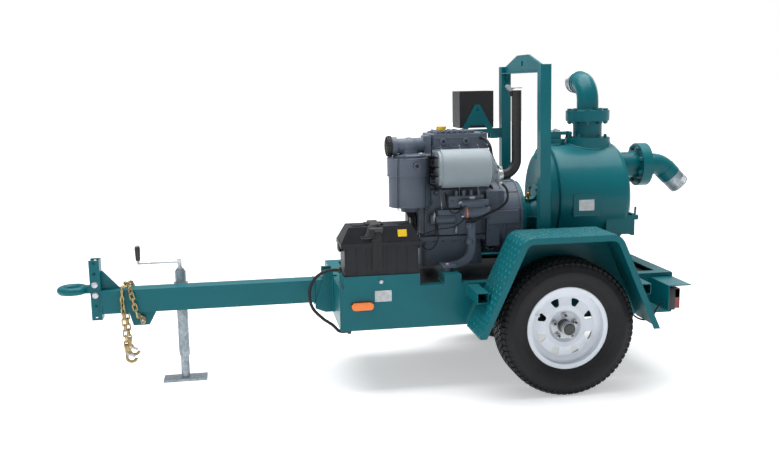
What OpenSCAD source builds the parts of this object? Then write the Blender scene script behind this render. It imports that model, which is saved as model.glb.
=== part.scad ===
// Portable fire pump: a diesel engine and a self-priming pump on a one-axle trailer.
// Millimetres. +X runs to the rear (suction end), +Z is up, the ground is z = 0.
// Inside the modules x = 0 is the wheel centre; place() moves it so that the whole part is centred.

/* [Overall] */
// wheel centre to the front of the towing eye
reach_front = 2521; // [2400:2700]
// wheel centre to the end of the suction nipple
reach_rear = 907; // [880:980]
// ground to the top of the lifting plate
bail_top = 1694; // [1660:1760]

/* [Frame] */
// outside width over the side rails
frame_width = 800; // [760:810]
// height of a side rail
rail_height = 214; // [190:224]
// top of the side rails above the ground
rail_top = 554; // [540:560]
// plate thickness of the rails
rail_wall = 5; // [4:8]
// wheel centre to the front of the frame
frame_front = 1105; // [1105:1130]
// wheel centre to the rear of the frame
frame_rear = 642; // [630:680]

/* [Tongue] */
// width of the tongue tube
tongue_width = 100; // [90:110]
// height of the tongue tube
tongue_height = 120; // [110:124]
// underside of the tongue tube above the ground
tongue_low = 415; // [410:420]
// wall of the tongue tube
tongue_wall = 6; // [4:8]
// hole through the towing eye
eye_bore = 76; // [70:80]
// thickness of the towing eye ring
eye_section = 41; // [36:44]
// vertical pitch of the holes in the hitch channel
hitch_pitch = 55.5; // [52:57]
// bolt size in the hitch channel
hitch_bolt = 16; // [12:18]

/* [Wheels] */
// overall tyre diameter
tyre_diameter = 688; // [660:700]
// tyre section width
tyre_width = 205; // [185:210]
// distance between the two wheel centre planes
wheel_track = 1070; // [1064:1100]
// rim bead seat diameter
rim_diameter = 381; // [378:384]
// rim width between its outer faces
rim_width = 146; // [140:152]
// pitch circle of the wheel studs
stud_circle = 114.3; // [110:120]
// spindle diameter in the hub
spindle = 35; // [32:38]
// radial running clearance of the hubs, shafts and the jack leg
running_gap = 0.05; // [0.03:0.01:0.08]

/* [Jack] */
// outside diameter of the jack outer tube
jack_outer = 57; // [55:60]
// outside diameter of the jack leg
jack_inner = 46; // [42:48]
// length of the jack foot plate
foot_length = 228; // [200:250]
// length of the crank arm
crank_arm = 214; // [190:220]

/* [Pump] */
// outside diameter of the pump tank
tank_diameter = 560; // [540:570]
// height of the pump tank axis
tank_axis = 933; // [930:940]
// outside diameter of the pipe flanges
flange_diameter = 235; // [229:242]
// outside diameter of the pipe nipples
pipe_diameter = 114; // [108:116]
// bore of the pipe nipples
pipe_bore = 102; // [96:103]
// height of the suction axis
suction_axis = 1085.7; // [1080:1090]
// wheel centre to the discharge axis
discharge_x = 322; // [318:326]
// height of the horizontal part of the discharge
discharge_axis = 1541; // [1530:1550]
// height of the engine and pump shaft
shaft_axis = 830; // [825:835]

/* [Engine] */
// outside diameter of the exhaust pipe
exhaust_pipe_d = 50; // [46:54]
// outside diameter of the muffler
muffler_d = 194; // [180:198]
// outside diameter of the air filter bowl
filter_d = 222; // [210:226]
// flywheel housing outside diameter
bell_d = 390; // [380:396]

/* [Hidden] */
fine = 64;
medium = 40;
coarse = 24;
eps = 0.5;
frame_shift = (reach_front - reach_rear) / 2;
half_frame = frame_width / 2;
rail_low = rail_top - rail_height;
rail_flange = 60;
half_tongue = tongue_width / 2;
tongue_top = tongue_low + tongue_height;
wheel_r = tyre_diameter / 2;
half_track = wheel_track / 2;
rim_r = rim_diameter / 2;
rim_lip = 17.5;
tank_r = tank_diameter / 2;
tank_front = 80;
tank_rear = 470;
tank_top = tank_axis + tank_r;
pipe_r = pipe_diameter / 2;
bore_r = pipe_bore / 2;
flange_r = flange_diameter / 2;
flange_t = 28;
elbow_r = 100;
eye_r = (eye_bore + eye_section) / 2 - 1;
eye_x = -reach_front + eye_r + eye_section / 2;
eye_z = 541;
channel_x = -2351;
channel_back = -2299;
channel_low = 382;
channel_high = 695;
channel_inner = 32;
channel_wall = 6;
hole_x = -2327;
jack_x = -1905;
jack_y = half_tongue + 12 + jack_outer / 2;
jack_bottom = 135;
leg_r = jack_inner / 2;
fender_in = half_frame + 26;
fender_out = 700;
fender_top = 818;
fender_wall = 3;
fender_foot = 340;
bell_front = -300;
bell_rear = -100;
post_x0 = -70;
post_x1 = -15;
post_y0 = half_frame - 75;
post_y1 = half_frame - 20;
filter_x = -700;
filter_y = -150;
muffler_y = -280;
muffler_z = 1125;
stack_x = -165;
outlet_z = 1083.5;
stack_top = 1511;
end_x = reach_rear - pipe_r * cos(45);
suction_face = 604;
suction_bend = 45;
nipple_len = 78;
panel_y = 300;
teal = [0.02, 0.36, 0.39];
grey = [0.29, 0.33, 0.40];
silver = [0.70, 0.72, 0.74];
black = [0.07, 0.07, 0.08];
zinc = [0.72, 0.58, 0.25];
cable_front_route = [[-1090, -330, 640], [-1160, -335, 640], [-1220, -335, 605], [-1250, -335, 540],
    [-1240, -335, 460], [-1190, -335, 400], [-1140, -335, 362], [-1105, -340, 328], [-1060, -350, 328]];
chain_pitch = 29.7;
chain_wire = 8;
chain_fixed = [[-2100, -17, 352], [-2100, -17, 382.5], [-2122, -68, 404], [-2141, -69, 500], [-2150, -67.5, 544.52],
    [-2157, -43, 554.52], [-2172, -38, 554.52], [-2184, -47, 555.52], [-2190, -68.5, 544.52], [-2192, -69, 500],
    [-2190, -67, 400], [-2184, -66, 237.5]];
hook_x = -2184;
hook_y = -66;
hook_z = 245.8;

// ---------- shared shapes ----------
module place() {
    translate([frame_shift, 0, 0])
        children();
}

module both() {
    children();
    mirror([0, 1, 0])
        children();
}

module box(x0, x1, y0, y1, z0, z1) {
    translate([x0, y0, z0])
        cube([x1 - x0, y1 - y0, z1 - z0]);
}

module xrod(x0, x1, y, z, r, n = fine) {
    translate([x0, y, z])
        rotate([0, 90, 0])
            cylinder(r = r, h = x1 - x0, $fn = n);
}

module yrod(x, y0, y1, z, r, n = fine) {
    translate([x, y0, z])
        rotate([-90, 0, 0])
            cylinder(r = r, h = y1 - y0, $fn = n);
}

module zrod(x, y, z0, z1, r, n = fine) {
    translate([x, y, z0])
        cylinder(r = r, h = z1 - z0, $fn = n);
}

// a plate cut from an outline in the xz plane, between two y values
module side_plate(y0, y1) {
    translate([0, y1, 0])
        rotate([90, 0, 0])
            linear_extrude(height = y1 - y0)
                children();
}

module rounded_box(x0, x1, y0, y1, z0, z1, r) {
    hull()
        for (x = [x0 + r, x1 - r])
            for (y = [y0 + r, y1 - r])
                zrod(x, y, z0, z1, r, 32);
}

// half a ring of round bar in the xy plane, on the +x side
module half_ring(radius, wire) {
    rotate([0, 0, -90])
        rotate_extrude(angle = 180, $fn = coarse)
            translate([radius, 0])
                circle(r = wire, $fn = 16);
}

function step_len(p, i) = norm(p[i + 1] - p[i]);
function along(p, s, i = 0) = (i >= len(p) - 2 || s <= step_len(p, i))
    ? p[i] + (p[i + 1] - p[i]) * (s / step_len(p, i))
    : along(p, s - step_len(p, i), i + 1);
function route_len(p, i = 0) = i >= len(p) - 1 ? 0 : step_len(p, i) + route_len(p, i + 1);
function smooth(a, b, c, d, t) = 0.5 * ((2 * b) + (c - a) * t + (2 * a - 5 * b + 4 * c - d) * t * t
    + (3 * b - a - 3 * c + d) * t * t * t);
function knot(p, i) = p[max(0, min(len(p) - 1, i))];

module cable(p, r) {
    steps = 4;
    pts = [for (i = [0 : len(p) - 2]) for (k = [0 : steps - 1])
        smooth(knot(p, i - 1), p[i], p[i + 1], knot(p, i + 2), k / steps), p[len(p) - 1]];
    for (i = [0 : len(pts) - 2])
        hull() {
            translate(pts[i])
                sphere(r = r, $fn = 10);
            translate(pts[i + 1])
                sphere(r = r, $fn = 10);
        }
}

module aim(a, b) {
    d = b - a;
    translate(a)
        rotate([0, acos(d[2] / norm(d)), atan2(d[1], d[0])])
            children();
}

module chain_link(length, wide, wire) {
    r = wide / 2 - wire / 2;
    rotate([90, 0, 0]) {
        translate([0, length - r, 0])
            rotate([0, 0, 90])
                half_ring(r, wire / 2);
        translate([0, r, 0])
            rotate([0, 0, -90])
                half_ring(r, wire / 2);
        for (x = [-r, r])
            translate([x, r, 0])
                rotate([-90, 0, 0])
                    cylinder(r = wire / 2, h = length - 2 * r, $fn = 16);
    }
}

module chain_run(p) {
    count = floor(route_len(p) / chain_pitch + 0.1);
    for (k = [0 : count - 1])
        aim(along(p, k * chain_pitch), along(p, (k + 1) * chain_pitch))
            rotate([0, 0, ((count - 1 - k) % 2) * 90])
                translate([0, 0, -(chain_wire + 1) / 2 + 0.6])
                    chain_link(chain_pitch + chain_wire - 0.4, 28, chain_wire);
}

module hex_bolt_y(x, y, z, d, reach) {
    yrod(x, y - 2.5, y, z, d * 1.0, coarse);
    translate([x, y - 2.5, z])
        rotate([90, 0, 0])
            cylinder(r = d * 0.9, h = d * 0.64, $fn = 6);
    yrod(x, y - 1, y + reach, z, d / 2, coarse);
}

module hex_bolt_z(x, y, z, d, reach) {
    translate([x, y, z])
        cylinder(r = d * 0.9, h = d * 0.64, $fn = 6);
    zrod(x, y, z - reach, z + 1, d / 2, coarse);
}

// ---------- trailer frame ----------
module rail(side) {
    y_out = side * half_frame;
    difference() {
        box(-frame_front, frame_rear, min(y_out, y_out - side * rail_flange),
            max(y_out, y_out - side * rail_flange), rail_low, rail_top);
        box(-frame_front - eps, frame_rear + eps, min(y_out - side * rail_wall, y_out - side * 100),
            max(y_out - side * rail_wall, y_out - side * 100), rail_low + rail_wall, rail_top - rail_wall);
    }
}

module tail_bracket(side) {
    top = rail_top - 22;
    y0 = side > 0 ? half_frame : -610;
    y1 = side > 0 ? 610 : -half_frame;
    box(524, frame_rear, y0, y1, top - 5, top);
    box(524, 529, y0, y1, 400, top);
}

module frame() {
    color(teal)
        place() {
            rail(-1);
            rail(1);
            // front and rear cross channels
            difference() {
                box(-frame_front, -frame_front + 70, -half_frame, half_frame, rail_low, rail_top);
                box(-frame_front + rail_wall, -frame_front + 80, -half_frame + rail_wall, half_frame - rail_wall,
                    rail_low + rail_wall, rail_top - rail_wall);
            }
            difference() {
                box(frame_rear - 70, frame_rear, -half_frame, half_frame, rail_low, rail_top);
                box(frame_rear - 80, frame_rear - rail_wall, -half_frame + rail_wall, half_frame - rail_wall,
                    rail_low + rail_wall, rail_top - rail_wall);
            }
            // sockets that hold the tongue above and below
            for (y = [-half_tongue - 12, half_tongue])
                side_plate(y, y + 12)
                    polygon([[-frame_front, 362], [-1150, 362], [-1203, 384], [-1203, 412], [-1158, tongue_top],
                        [-1158, 588], [-frame_front, 588]]);
            difference() {
                box(-1158, -frame_front + 20, -half_tongue - 12, half_tongue + 12, rail_top, rail_top + 8);
                for (s = [-1, 1])
                    zrod(-1135, s * 30, rail_top + 1, rail_top + 9, 7.3, coarse);
            }
            box(-1158, -1095, -half_tongue, half_tongue, tongue_top, tongue_top + 8);
            box(-1203, -frame_front, -half_tongue, half_tongue, tongue_low - 10, tongue_low);
            // cross bars that carry the pump feet
            for (x = [150, 350])
                box(x, x + 60, -half_frame + rail_wall, half_frame - rail_wall, rail_top, rail_top + 20);
            both() {
                // pads under the front engine mounts
                box(-574, -487, -half_frame, -245, rail_top, 600);
                // outriggers to the fender legs
                difference() {
                    box(-458, -400, -600, -half_frame, 490, 545);
                    box(-453, -405, -601, -half_frame - 1, 495, 540);
                }
                difference() {
                    box(378, 436, -600, -half_frame, 490, 545);
                    box(383, 431, -601, -half_frame - 1, 495, 540);
                }
            }
            tail_bracket(-1);
            tail_bracket(1);
        }
}

module tongue_tube() {
    color(teal)
        place() {
            difference() {
                box(channel_back, -frame_front - 1, -half_tongue, half_tongue, tongue_low, tongue_top);
                box(channel_back + 5, -frame_front + 5, -half_tongue + tongue_wall, half_tongue - tongue_wall,
                    tongue_low + tongue_wall, tongue_top - tongue_wall);
            }
            // plate under the tongue for the safety chains
            difference() {
                side_plate(-6, 6)
                    polygon([[-2170, tongue_low], [-2150, 336], [-2068, 336], [-2025, tongue_low]]);
                yrod(-2100, -10, 10, 365, 8.5, medium);
            }
        }
}

module hitch_channel() {
    color(teal)
        place() {
            difference() {
                box(channel_x, channel_back, -channel_inner - channel_wall, channel_inner + channel_wall,
                    channel_low, channel_high);
                box(channel_x - 1, channel_back - channel_wall, -channel_inner, channel_inner,
                    channel_low - 1, channel_high + 1);
                for (k = [-3 : 2])
                    yrod(hole_x, -50, 50, eye_z + (k + 0.5) * hitch_pitch, hitch_bolt / 2 + 0.5, medium);
            }
            // gusset on top of the tongue
            side_plate(-5, 5)
                polygon([[channel_back, tongue_top], [-2203, tongue_top], [-2290, 633], [channel_back, 633]]);
        }
}

module lunette_eye() {
    color(teal)
        place()
            difference() {
                union() {
                    translate([eye_x, 0, eye_z])
                        rotate_extrude($fn = fine)
                            translate([eye_r, 0])
                                circle(r = eye_section / 2, $fn = medium);
                    box(eye_x + eye_r, channel_back - channel_wall - 1, -24, 24, eye_z - 18, eye_z + 18);
                    box(channel_x + 6, channel_back - channel_wall - 1, -channel_inner + 0.5, channel_inner - 0.5,
                        eye_z - 48, eye_z + 48);
                }
                zrod(eye_x, 0, eye_z - 30, eye_z + 30, eye_bore / 2);
                for (s = [-0.5, 0.5])
                    yrod(hole_x, -50, 50, eye_z + s * hitch_pitch, hitch_bolt / 2 + 0.5, medium);
            }
}

module safety_chains() {
    color(zinc)
        place()
            both()
                chain_run(chain_fixed);
}

// clevis hook that hangs from the last chain link
module slip_hook() {
    translate([hook_x, hook_y, hook_z]) {
        difference() {
            union() {
                box(-9, 9, -14, 14, -24, 7);
                box(-9, 9, -9, 9, -34, -20);
            }
            box(-10, 10, -7, 7, -17.5, 8);
        }
        yrod(0, -19, 19, 0, 3, coarse);
        translate([22, 0, -62])
            rotate([90, 0, 0])
                rotate([0, 0, 100])
                    rotate_extrude(angle = 245, $fn = medium)
                        translate([24, 0])
                            circle(r = 8, $fn = 20);
        box(-6, 14, -8, 8, -44, -30);
        yrod(-3, -12, 12, -38, 2.5, coarse);
    }
}

module hook_latch() {
    translate([hook_x, hook_y, hook_z])
        difference() {
            union() {
                yrod(-3, -12, -9.2, -38, 6, coarse);
                yrod(-3, 9.2, 12, -38, 6, coarse);
                for (y = [-12, 9.2])
                    side_plate(y, y + 2.8)
                        polygon([[-3, -44], [-3, -32], [38, -55], [38, -62]]);
                box(33, 38, -12, 12, -62, -56);
            }
            yrod(-3, -13, 13, -38, 2.8, coarse);
        }
}

module hook_near() {
    color(zinc)
        place()
            slip_hook();
}

module hook_far() {
    color(zinc)
        place()
            mirror([0, 1, 0])
                slip_hook();
}

module latch_near() {
    color(silver)
        place()
            hook_latch();
}

module latch_far() {
    color(silver)
        place()
            mirror([0, 1, 0])
                hook_latch();
}

// ---------- jack ----------
module jack_tube() {
    color(silver)
        place() {
            difference() {
                union() {
                    zrod(jack_x, jack_y, jack_bottom, 596, jack_outer / 2);
                    zrod(jack_x, jack_y, 508, 534, jack_outer / 2 + 9, medium);
                    zrod(jack_x, jack_y, 596, 606, jack_outer / 2 - 6, medium);
                    // bracket plate welded to the far side of the tongue
                    box(jack_x - 50, jack_x + 50, half_tongue, half_tongue + 14, 425, 527);
                }
                zrod(jack_x, jack_y, jack_bottom - 1, 575, leg_r + running_gap);
                zrod(jack_x, jack_y, 570, 607, 9 + running_gap, medium);
            }
        }
}

module jack_leg() {
    color(silver)
        place()
            difference() {
                union() {
                    zrod(jack_x, jack_y, 10, 470, leg_r);
                    box(jack_x - foot_length / 2, jack_x + foot_length / 2, jack_y - 50, jack_y + 50, 0, 12);
                }
                zrod(jack_x, jack_y, 30, 471, leg_r - 5, medium);
            }
}

module jack_crank() {
    color(silver)
        place() {
            zrod(jack_x, jack_y, 480, 640, 9, medium);
            zrod(jack_x, jack_y, 606.4, 616, 14, medium);
            box(jack_x - 12, jack_x + 10, jack_y - 10, jack_y + 10, 632, 658);
            xrod(jack_x - crank_arm, jack_x, jack_y, 645, 5.5, coarse);
            translate([jack_x - crank_arm, jack_y, 645])
                sphere(r = 5.5, $fn = coarse);
            zrod(jack_x - crank_arm, jack_y, 645, 738, 5.5, coarse);
            zrod(jack_x - crank_arm, jack_y, 657, 660, 9, coarse);
            zrod(jack_x - crank_arm, jack_y, 738, 741, 9, coarse);
        }
}

module jack_grip() {
    color(black)
        place()
            translate([jack_x - crank_arm, jack_y, 660.5])
                rotate_extrude($fn = medium)
                    polygon([[5.56, 0], [10, 0], [12, 8], [14.5, 62], [13, 74], [9, 77], [5.56, 77]]);
}

// ---------- fuel tank ----------
module fuel_tank() {
    color(black)
        place() {
            difference() {
                box(-1030, 565, -half_frame + 65, half_frame - 65, rail_low + 8, 530);
                box(-1027, 562, -half_frame + 68, half_frame - 68, rail_low + 11, 527);
                zrod(-880, 250, 520, 540, 28, medium);
            }
            difference() {
                zrod(-880, 250, 527, 560, 32, medium);
                zrod(-880, 250, 526, 561, 28, medium);
            }
        }
}

module fuel_cap() {
    color(black)
        place() {
            difference() {
                zrod(-880, 250, 542, 576, 42, medium);
                zrod(-880, 250, 541, 568, 32.4, medium);
            }
            zrod(-880, 250, 545, 572, 27.6, medium);
        }
}

// ---------- running gear ----------
module axle() {
    color(black)
        place() {
            box(-175, -100, -half_frame, half_frame, rail_low - 75, rail_low);
            both() {
                side_plate(-half_frame - 24, -half_frame)
                    polygon([[-175, rail_low - 70], [-110, rail_low - 75], [32, wheel_r - 34], [32, wheel_r + 34],
                        [-20, wheel_r + 34], [-175, rail_low - 5]]);
                yrod(0, -half_track - 45, -half_frame - 5, wheel_r, spindle / 2, fine);
                yrod(0, -half_track - 62, -half_track - 40, wheel_r, spindle / 2 - 5, medium);
            }
        }
}

module wheel_axis(side) {
    translate([0, side * half_track, wheel_r])
        rotate([side < 0 ? 90 : -90, 0, 0])
            children();
}

// along the wheel axis +z points out of the trailer, z = 0 is the wheel centre plane
module hub(side) {
    wheel_axis(side) {
        difference() {
            union() {
                rotate_extrude($fn = fine)
                    polygon([[0, -70], [38, -70], [38, -6], [72, -6], [72, 8], [34, 8], [34, 66], [30, 70],
                        [30, 96], [24, 104], [0, 104]]);
                for (a = [0 : 72 : 359])
                    rotate([0, 0, a + 90]) {
                        translate([stud_circle / 2, 0, 0])
                            cylinder(r = 6.3, h = 46, $fn = coarse);
                        translate([stud_circle / 2, 0, 16.2])
                            cylinder(r = 11, h = 19, $fn = 6);
                    }
            }
            translate([0, 0, -71])
                cylinder(r = spindle / 2 + running_gap, h = 139, $fn = fine);
        }
    }
}

module rim(side) {
    half = rim_width / 2;
    wheel_axis(side) {
        difference() {
            rotate_extrude($fn = fine)
                polygon([[34.2, 8.2], [70, 8.2], [84, 26], [104, 30], [150, 22], [166, 30], [172, 10], [172, -24],
                    [rim_r - 5, -30], [rim_r - 5, -half + 3], [rim_r + rim_lip - 4, -half],
                    [rim_r + rim_lip, -half + 2], [rim_r + rim_lip, -half + 6], [rim_r, -half + 8],
                    [rim_r, -28], [176.5, -20], [176.5, 26], [rim_r, 34], [rim_r, half - 8],
                    [rim_r + rim_lip, half - 6], [rim_r + rim_lip, half - 2], [rim_r + rim_lip - 4, half],
                    [rim_r - 5, half - 3], [rim_r - 5, 37], [166, 36], [150, 27], [104, 35],
                    [82, 31], [67, 16], [34.2, 16]]);
            for (a = [0 : 45 : 359])
                rotate([0, 0, a + 22.5])
                    linear_extrude(height = 60)
                        polygon([[108, -4], [112, -12], [140, -22], [146, -16], [148, 0], [146, 16], [140, 22],
                            [112, 12], [108, 4]]);
            for (a = [0 : 72 : 359])
                rotate([0, 0, a + 90])
                    translate([stud_circle / 2, 0, 0])
                        cylinder(r = 7, h = 40, $fn = coarse);
        }
        // tyre valve
        rotate([0, 0, 155])
            translate([172, 0, 32])
                rotate([0, -20, 0])
                    cylinder(r = 5, h = 34, $fn = coarse);
    }
}

module tyre(side) {
    half = tyre_width / 2;
    r = wheel_r;
    wheel_axis(side)
        rotate_extrude($fn = fine)
            polygon([[rim_r, 57], [rim_r + 20, 66], [rim_r + 42, half - 14], [rim_r + 72, half - 1],
                [rim_r + 92, half], [rim_r + 118, half - 6], [r - 16, half - 20], [r - 5, half - 32],
                [r, half - 44], [r, 42], [r - 8, 40], [r - 8, 33], [r, 31], [r, 4], [r - 8, 3], [r - 8, -3],
                [r, -4], [r, -31], [r - 8, -33], [r - 8, -40], [r, -42], [r, -half + 44], [r - 5, -half + 32],
                [r - 16, -half + 20], [rim_r + 118, -half + 6], [rim_r + 92, -half], [rim_r + 72, -half + 1],
                [rim_r + 42, -half + 14], [rim_r + 20, -66], [rim_r, -57], [rim_r, -42], [rim_r + 14, -48],
                [rim_r + 40, -78], [rim_r + 92, -88], [r - 22, -78], [r - 14, -50], [r - 14, 50], [r - 22, 78],
                [rim_r + 92, 88], [rim_r + 40, 78], [rim_r + 14, 48], [rim_r, 42]]);
}

module hub_near() {
    color(black)
        place()
            hub(-1);
}

module hub_far() {
    color(black)
        place()
            hub(1);
}

module rim_near() {
    color([0.85, 0.87, 0.9])
        place()
            rim(-1);
}

module rim_far() {
    color([0.85, 0.87, 0.9])
        place()
            rim(1);
}

module tyre_near() {
    color([0.12, 0.12, 0.13])
        place()
            tyre(-1);
}

module tyre_far() {
    color([0.12, 0.12, 0.13])
        place()
            tyre(1);
}

// outline of a fender, stepped in from its outer skin
module fender_outline(inset) {
    intersection() {
        offset(delta = -inset)
            offset(r = 70, $fn = 48)
                offset(delta = -70)
                    polygon([[-600, 60], [-246, fender_top], [235, fender_top], [562, 60]]);
        translate([-700, fender_foot])
            square([1400, 600]);
    }
}

module fenders() {
    color(teal)
        place()
            both() {
                side_plate(-fender_out, -fender_in)
                    difference() {
                        fender_outline(0);
                        fender_outline(fender_wall);
                    }
                side_plate(-fender_out, -fender_out + fender_wall)
                    difference() {
                        fender_outline(0);
                        fender_outline(30);
                    }
                side_plate(-fender_in - fender_wall, -fender_in)
                    difference() {
                        fender_outline(0);
                        translate([-700, 0])
                            square([1400, wheel_r + 110]);
                    }
            }
}

// ---------- lifting bail ----------
module lifting_bail() {
    xm = (post_x0 + post_x1) / 2;
    color(teal)
        place() {
            for (s = [-1, 1])
                difference() {
                    box(post_x0, post_x1, min(s * post_y0, s * post_y1), max(s * post_y0, s * post_y1),
                        rail_top, bail_top - 56);
                    box(post_x0 + 5, post_x1 - 5, min(s * (post_y0 + 5), s * (post_y1 - 5)),
                        max(s * (post_y0 + 5), s * (post_y1 - 5)), rail_top - 1, bail_top - 61);
                }
            // plate over the posts with the lifting slot
            difference() {
                translate([xm - 6, 0, 0])
                    rotate([90, 0, 90])
                        linear_extrude(height = 12)
                            polygon([[-post_y0, bail_top - 96], [post_y0, bail_top - 96],
                                [post_y0, bail_top - 58], [95, bail_top], [-95, bail_top],
                                [-post_y0, bail_top - 58]]);
                xrod(xm - 10, xm + 10, 0, bail_top - 50, 20);
            }
            box(post_x0, post_x1, -post_y0, post_y0, bail_top - 96, bail_top - 90);
            // corner gussets under the cross plate
            both()
                translate([xm - 4, 0, 0])
                    rotate([90, 0, 90])
                        linear_extrude(height = 8)
                            polygon([[-post_y0, bail_top - 96], [-post_y0 + 45, bail_top - 96],
                                [-post_y0, bail_top - 160]]);
            // arm and bracket that carry the control panel
            box(-150, post_x0, panel_y + 30, panel_y + 36, 1236, 1292);
            box(-146, -105, panel_y - 8, panel_y + 36, 1236, 1240);
            difference() {
                side_plate(panel_y - 8, panel_y)
                    difference() {
                        polygon([[-342, 1236], [-316, 1236], [-300, 1266], [-146, 1266], [-146, 1236],
                            [-100, 1236], [-206, 1428], [-234, 1428]]);
                        polygon([[-278, 1290], [-164, 1290], [-180, 1312], [-262, 1312]]);
                    }
                yrod(-220, panel_y - 9, panel_y + 1, 1400, 6, coarse);
            }
        }
}

// ---------- lamps and plates ----------
module tail_lamps() {
    color([0.5, 0.03, 0.04])
        place()
            both()
                difference() {
                    union() {
                        box(529, 560, -598, -500, 405, 515);
                        box(560, 592, -594, -504, 410, 510);
                    }
                    box(531, 588, -590, -508, 414, 506);
                }
}

module marker_lamps() {
    color([0.9, 0.42, 0.05])
        place()
            both()
                hull()
                    for (x = [-1030, -958])
                        yrod(x, -half_frame - 20, -half_frame, 466, 19, 32);
}

module data_plates() {
    color(silver)
        place() {
            box(-930, -846, -half_frame - 1, -half_frame, 483, 539);
            box(173, 256, -tank_r - 5, -tank_r - 4, 880, 937);
        }
}

// ---------- battery ----------
module battery_tray() {
    color(teal)
        place()
            difference() {
                union() {
                    box(-1083, -700, -half_frame, -185, rail_top, rail_top + 4);
                    box(-1083, -700, -half_frame, -half_frame + 4, rail_top, 616);
                    box(-1083, -1079, -half_frame, -185, rail_top, 616);
                    box(-1083, -700, -189, -185, rail_top, 616);
                }
                yrod(-897, -half_frame - 1, -half_frame + 5, 584, 5.3, coarse);
            }
}

module battery_box() {
    color(black)
        place() {
            difference() {
                box(-1076, -706, -394, -196, rail_top + 4.5, 768);
                box(-1071, -711, -389, -201, rail_top + 10, 769);
            }
            // rope loops on the end walls
            for (x = [-1090, -706])
                box(x, x + 14, -330, -260, 735, 752);
        }
}

module battery_lid() {
    color(black)
        place()
            difference() {
                union() {
                    box(-1094, -688, -402, -184, 760, 782);
                    hull() {
                        box(-1090, -692, -398, -188, 782, 786);
                        box(-1050, -730, -370, -216, 855, 858);
                    }
                    box(-960, -870, -330, -250, 857, 866);
                }
                box(-1076.5, -705.5, -394.5, -195.5, 759, 772);
                box(-1070, -712, -388, -202, 771, 790);
                box(-1040, -740, -360, -226, 789, 848);
            }
}

module battery() {
    color([0.2, 0.2, 0.22])
        place() {
            box(-1055, -727, -380, -210, rail_top + 10, 745);
            for (x = [-1020, -762])
                zrod(x, -240, 745, 762, 9, coarse);
        }
}

module battery_strap() {
    xc = -914;
    color([0.1, 0.1, 0.1])
        place() {
            side_strap = 24;
            box(xc - side_strap, xc + side_strap, -405, -403, 640, 796);
            box(xc - side_strap, xc + side_strap, -183, -181, 640, 796);
            box(xc - side_strap, xc + side_strap, -405, -398.5, 790, 796);
            box(xc - side_strap, xc + side_strap, -188, -181, 790, 796);
            hull() {
                box(xc - side_strap, xc + side_strap, -403, -401, 788, 796);
                box(xc - side_strap, xc + side_strap, -373, -371, 866.5, 869);
            }
            hull() {
                box(xc - side_strap, xc + side_strap, -185, -183, 788, 796);
                box(xc - side_strap, xc + side_strap, -215, -213, 866.5, 869);
            }
            box(xc - side_strap, xc + side_strap, -373, -213, 866.5, 869);
        }
}

// ---------- wiring ----------
module cable_front() {
    color(black)
        place()
            cable(cable_front_route, 8);
}

// ---------- engine ----------
// curved arm from the block down to a front mount
module mount_arm(side) {
    y0 = side < 0 ? -268 : 232;
    side_plate(y0, y0 + 36)
        polygon([[-417, 838], [-417, 705], [-422, 680], [-440, 656], [-468, 641], [-512, 633], [-512, 605],
            [-468, 610], [-424, 626], [-396, 655], [-383, 690], [-381, 730], [-381, 838]]);
    box(-414, -384, side < 0 ? -240 : 165, side < 0 ? -165 : 240, 784, 834);
    difference() {
        union() {
            box(-568, -495, side < 0 ? -330 : 234, side < 0 ? -234 : 330, 621, 633);
            zrod(-540, side * 300, 600, 625, 24, medium);
        }
        zrod(-540, side * 300, 604, 634, 7.3, coarse);
    }
}

module engine_block() {
    color(grey)
        place() {
            difference() {
                union() {
                    box(-650, bell_front, -150, 150, 752, 1000);
                    box(-560, -330, -190, 190, 770, 900);
                    // fuel pump and air duct housings on the near side
                    box(-506, -318, -205, -150, 914, 972);
                    for (x = [-470, -430, -390, -350])
                        box(x, x + 14, -198, -150, 972, 1000);
                    xrod(-600, -470, -180, 850, 26, medium);
                    // far side oil cooler
                    box(-520, -360, 150, 225, 820, 940);
                }
                // crank chambers, open to the oil pan, between the main bearing webs
                for (x = [[-620, -490], [-460, bell_front - 30]])
                    box(x[0], x[1], -100, 100, 751, shaft_axis + 70);
                xrod(-651, bell_front + 1, 0, shaft_axis, 30 + running_gap);
                zrod(filter_x, filter_y, 922, 1001, filter_d / 2 + 3);
            }
            mount_arm(-1);
            mount_arm(1);
        }
}

module oil_pan() {
    color(grey)
        place() {
            difference() {
                union() {
                    box(-655, -304, -175, 175, 738, 752);
                    rounded_box(-650, -310, -160, 160, 604, 740, 40);
                }
                box(-620, -340, -130, 130, 612, 753);
            }
            xrod(-310, -296, -60, 640, 11, coarse);
        }
}

module cylinder_head() {
    color(grey)
        place() {
            box(-580, -272, -120, 120, 1000, 1216);
            for (z = [1016 : 16 : 1130])
                box(-584, -264, -135, 135, z, z + 7);
            // exhaust ports toward the muffler
            for (x = [-540, -440, -340])
                yrod(x, muffler_y + muffler_d / 2 + 0.5, -115, 1150, 20, medium);
            // intake manifold on the near side
            xrod(-575, -290, -118, 1184, 30, medium);
        }
}

module valve_cover() {
    color(grey)
        place()
            difference() {
                union() {
                    rounded_box(-580, -270, -118, 118, 1216, 1290, 24);
                    rounded_box(-545, -330, -80, 80, 1290, 1302, 20);
                    for (x = [-513, -391])
                        yrod(x, -128, -100, 1252, 19, medium);
                    for (x = [-530 : 30 : -390])
                        box(x, x + 8, -118, 118, 1290, 1306);
                }
                box(-556, -294, -94, 94, 1215, 1280);
                zrod(-496, 0, 1270, 1310, 15.5, medium);
            }
}

module oil_cap() {
    color([0.95, 0.78, 0.05])
        place() {
            zrod(-496, 0, 1284, 1308, 15.44, medium);
            zrod(-496, 0, 1306.4, 1324, 21, medium);
            box(-522, -470, -5, 5, 1312, 1326);
        }
}

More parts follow.
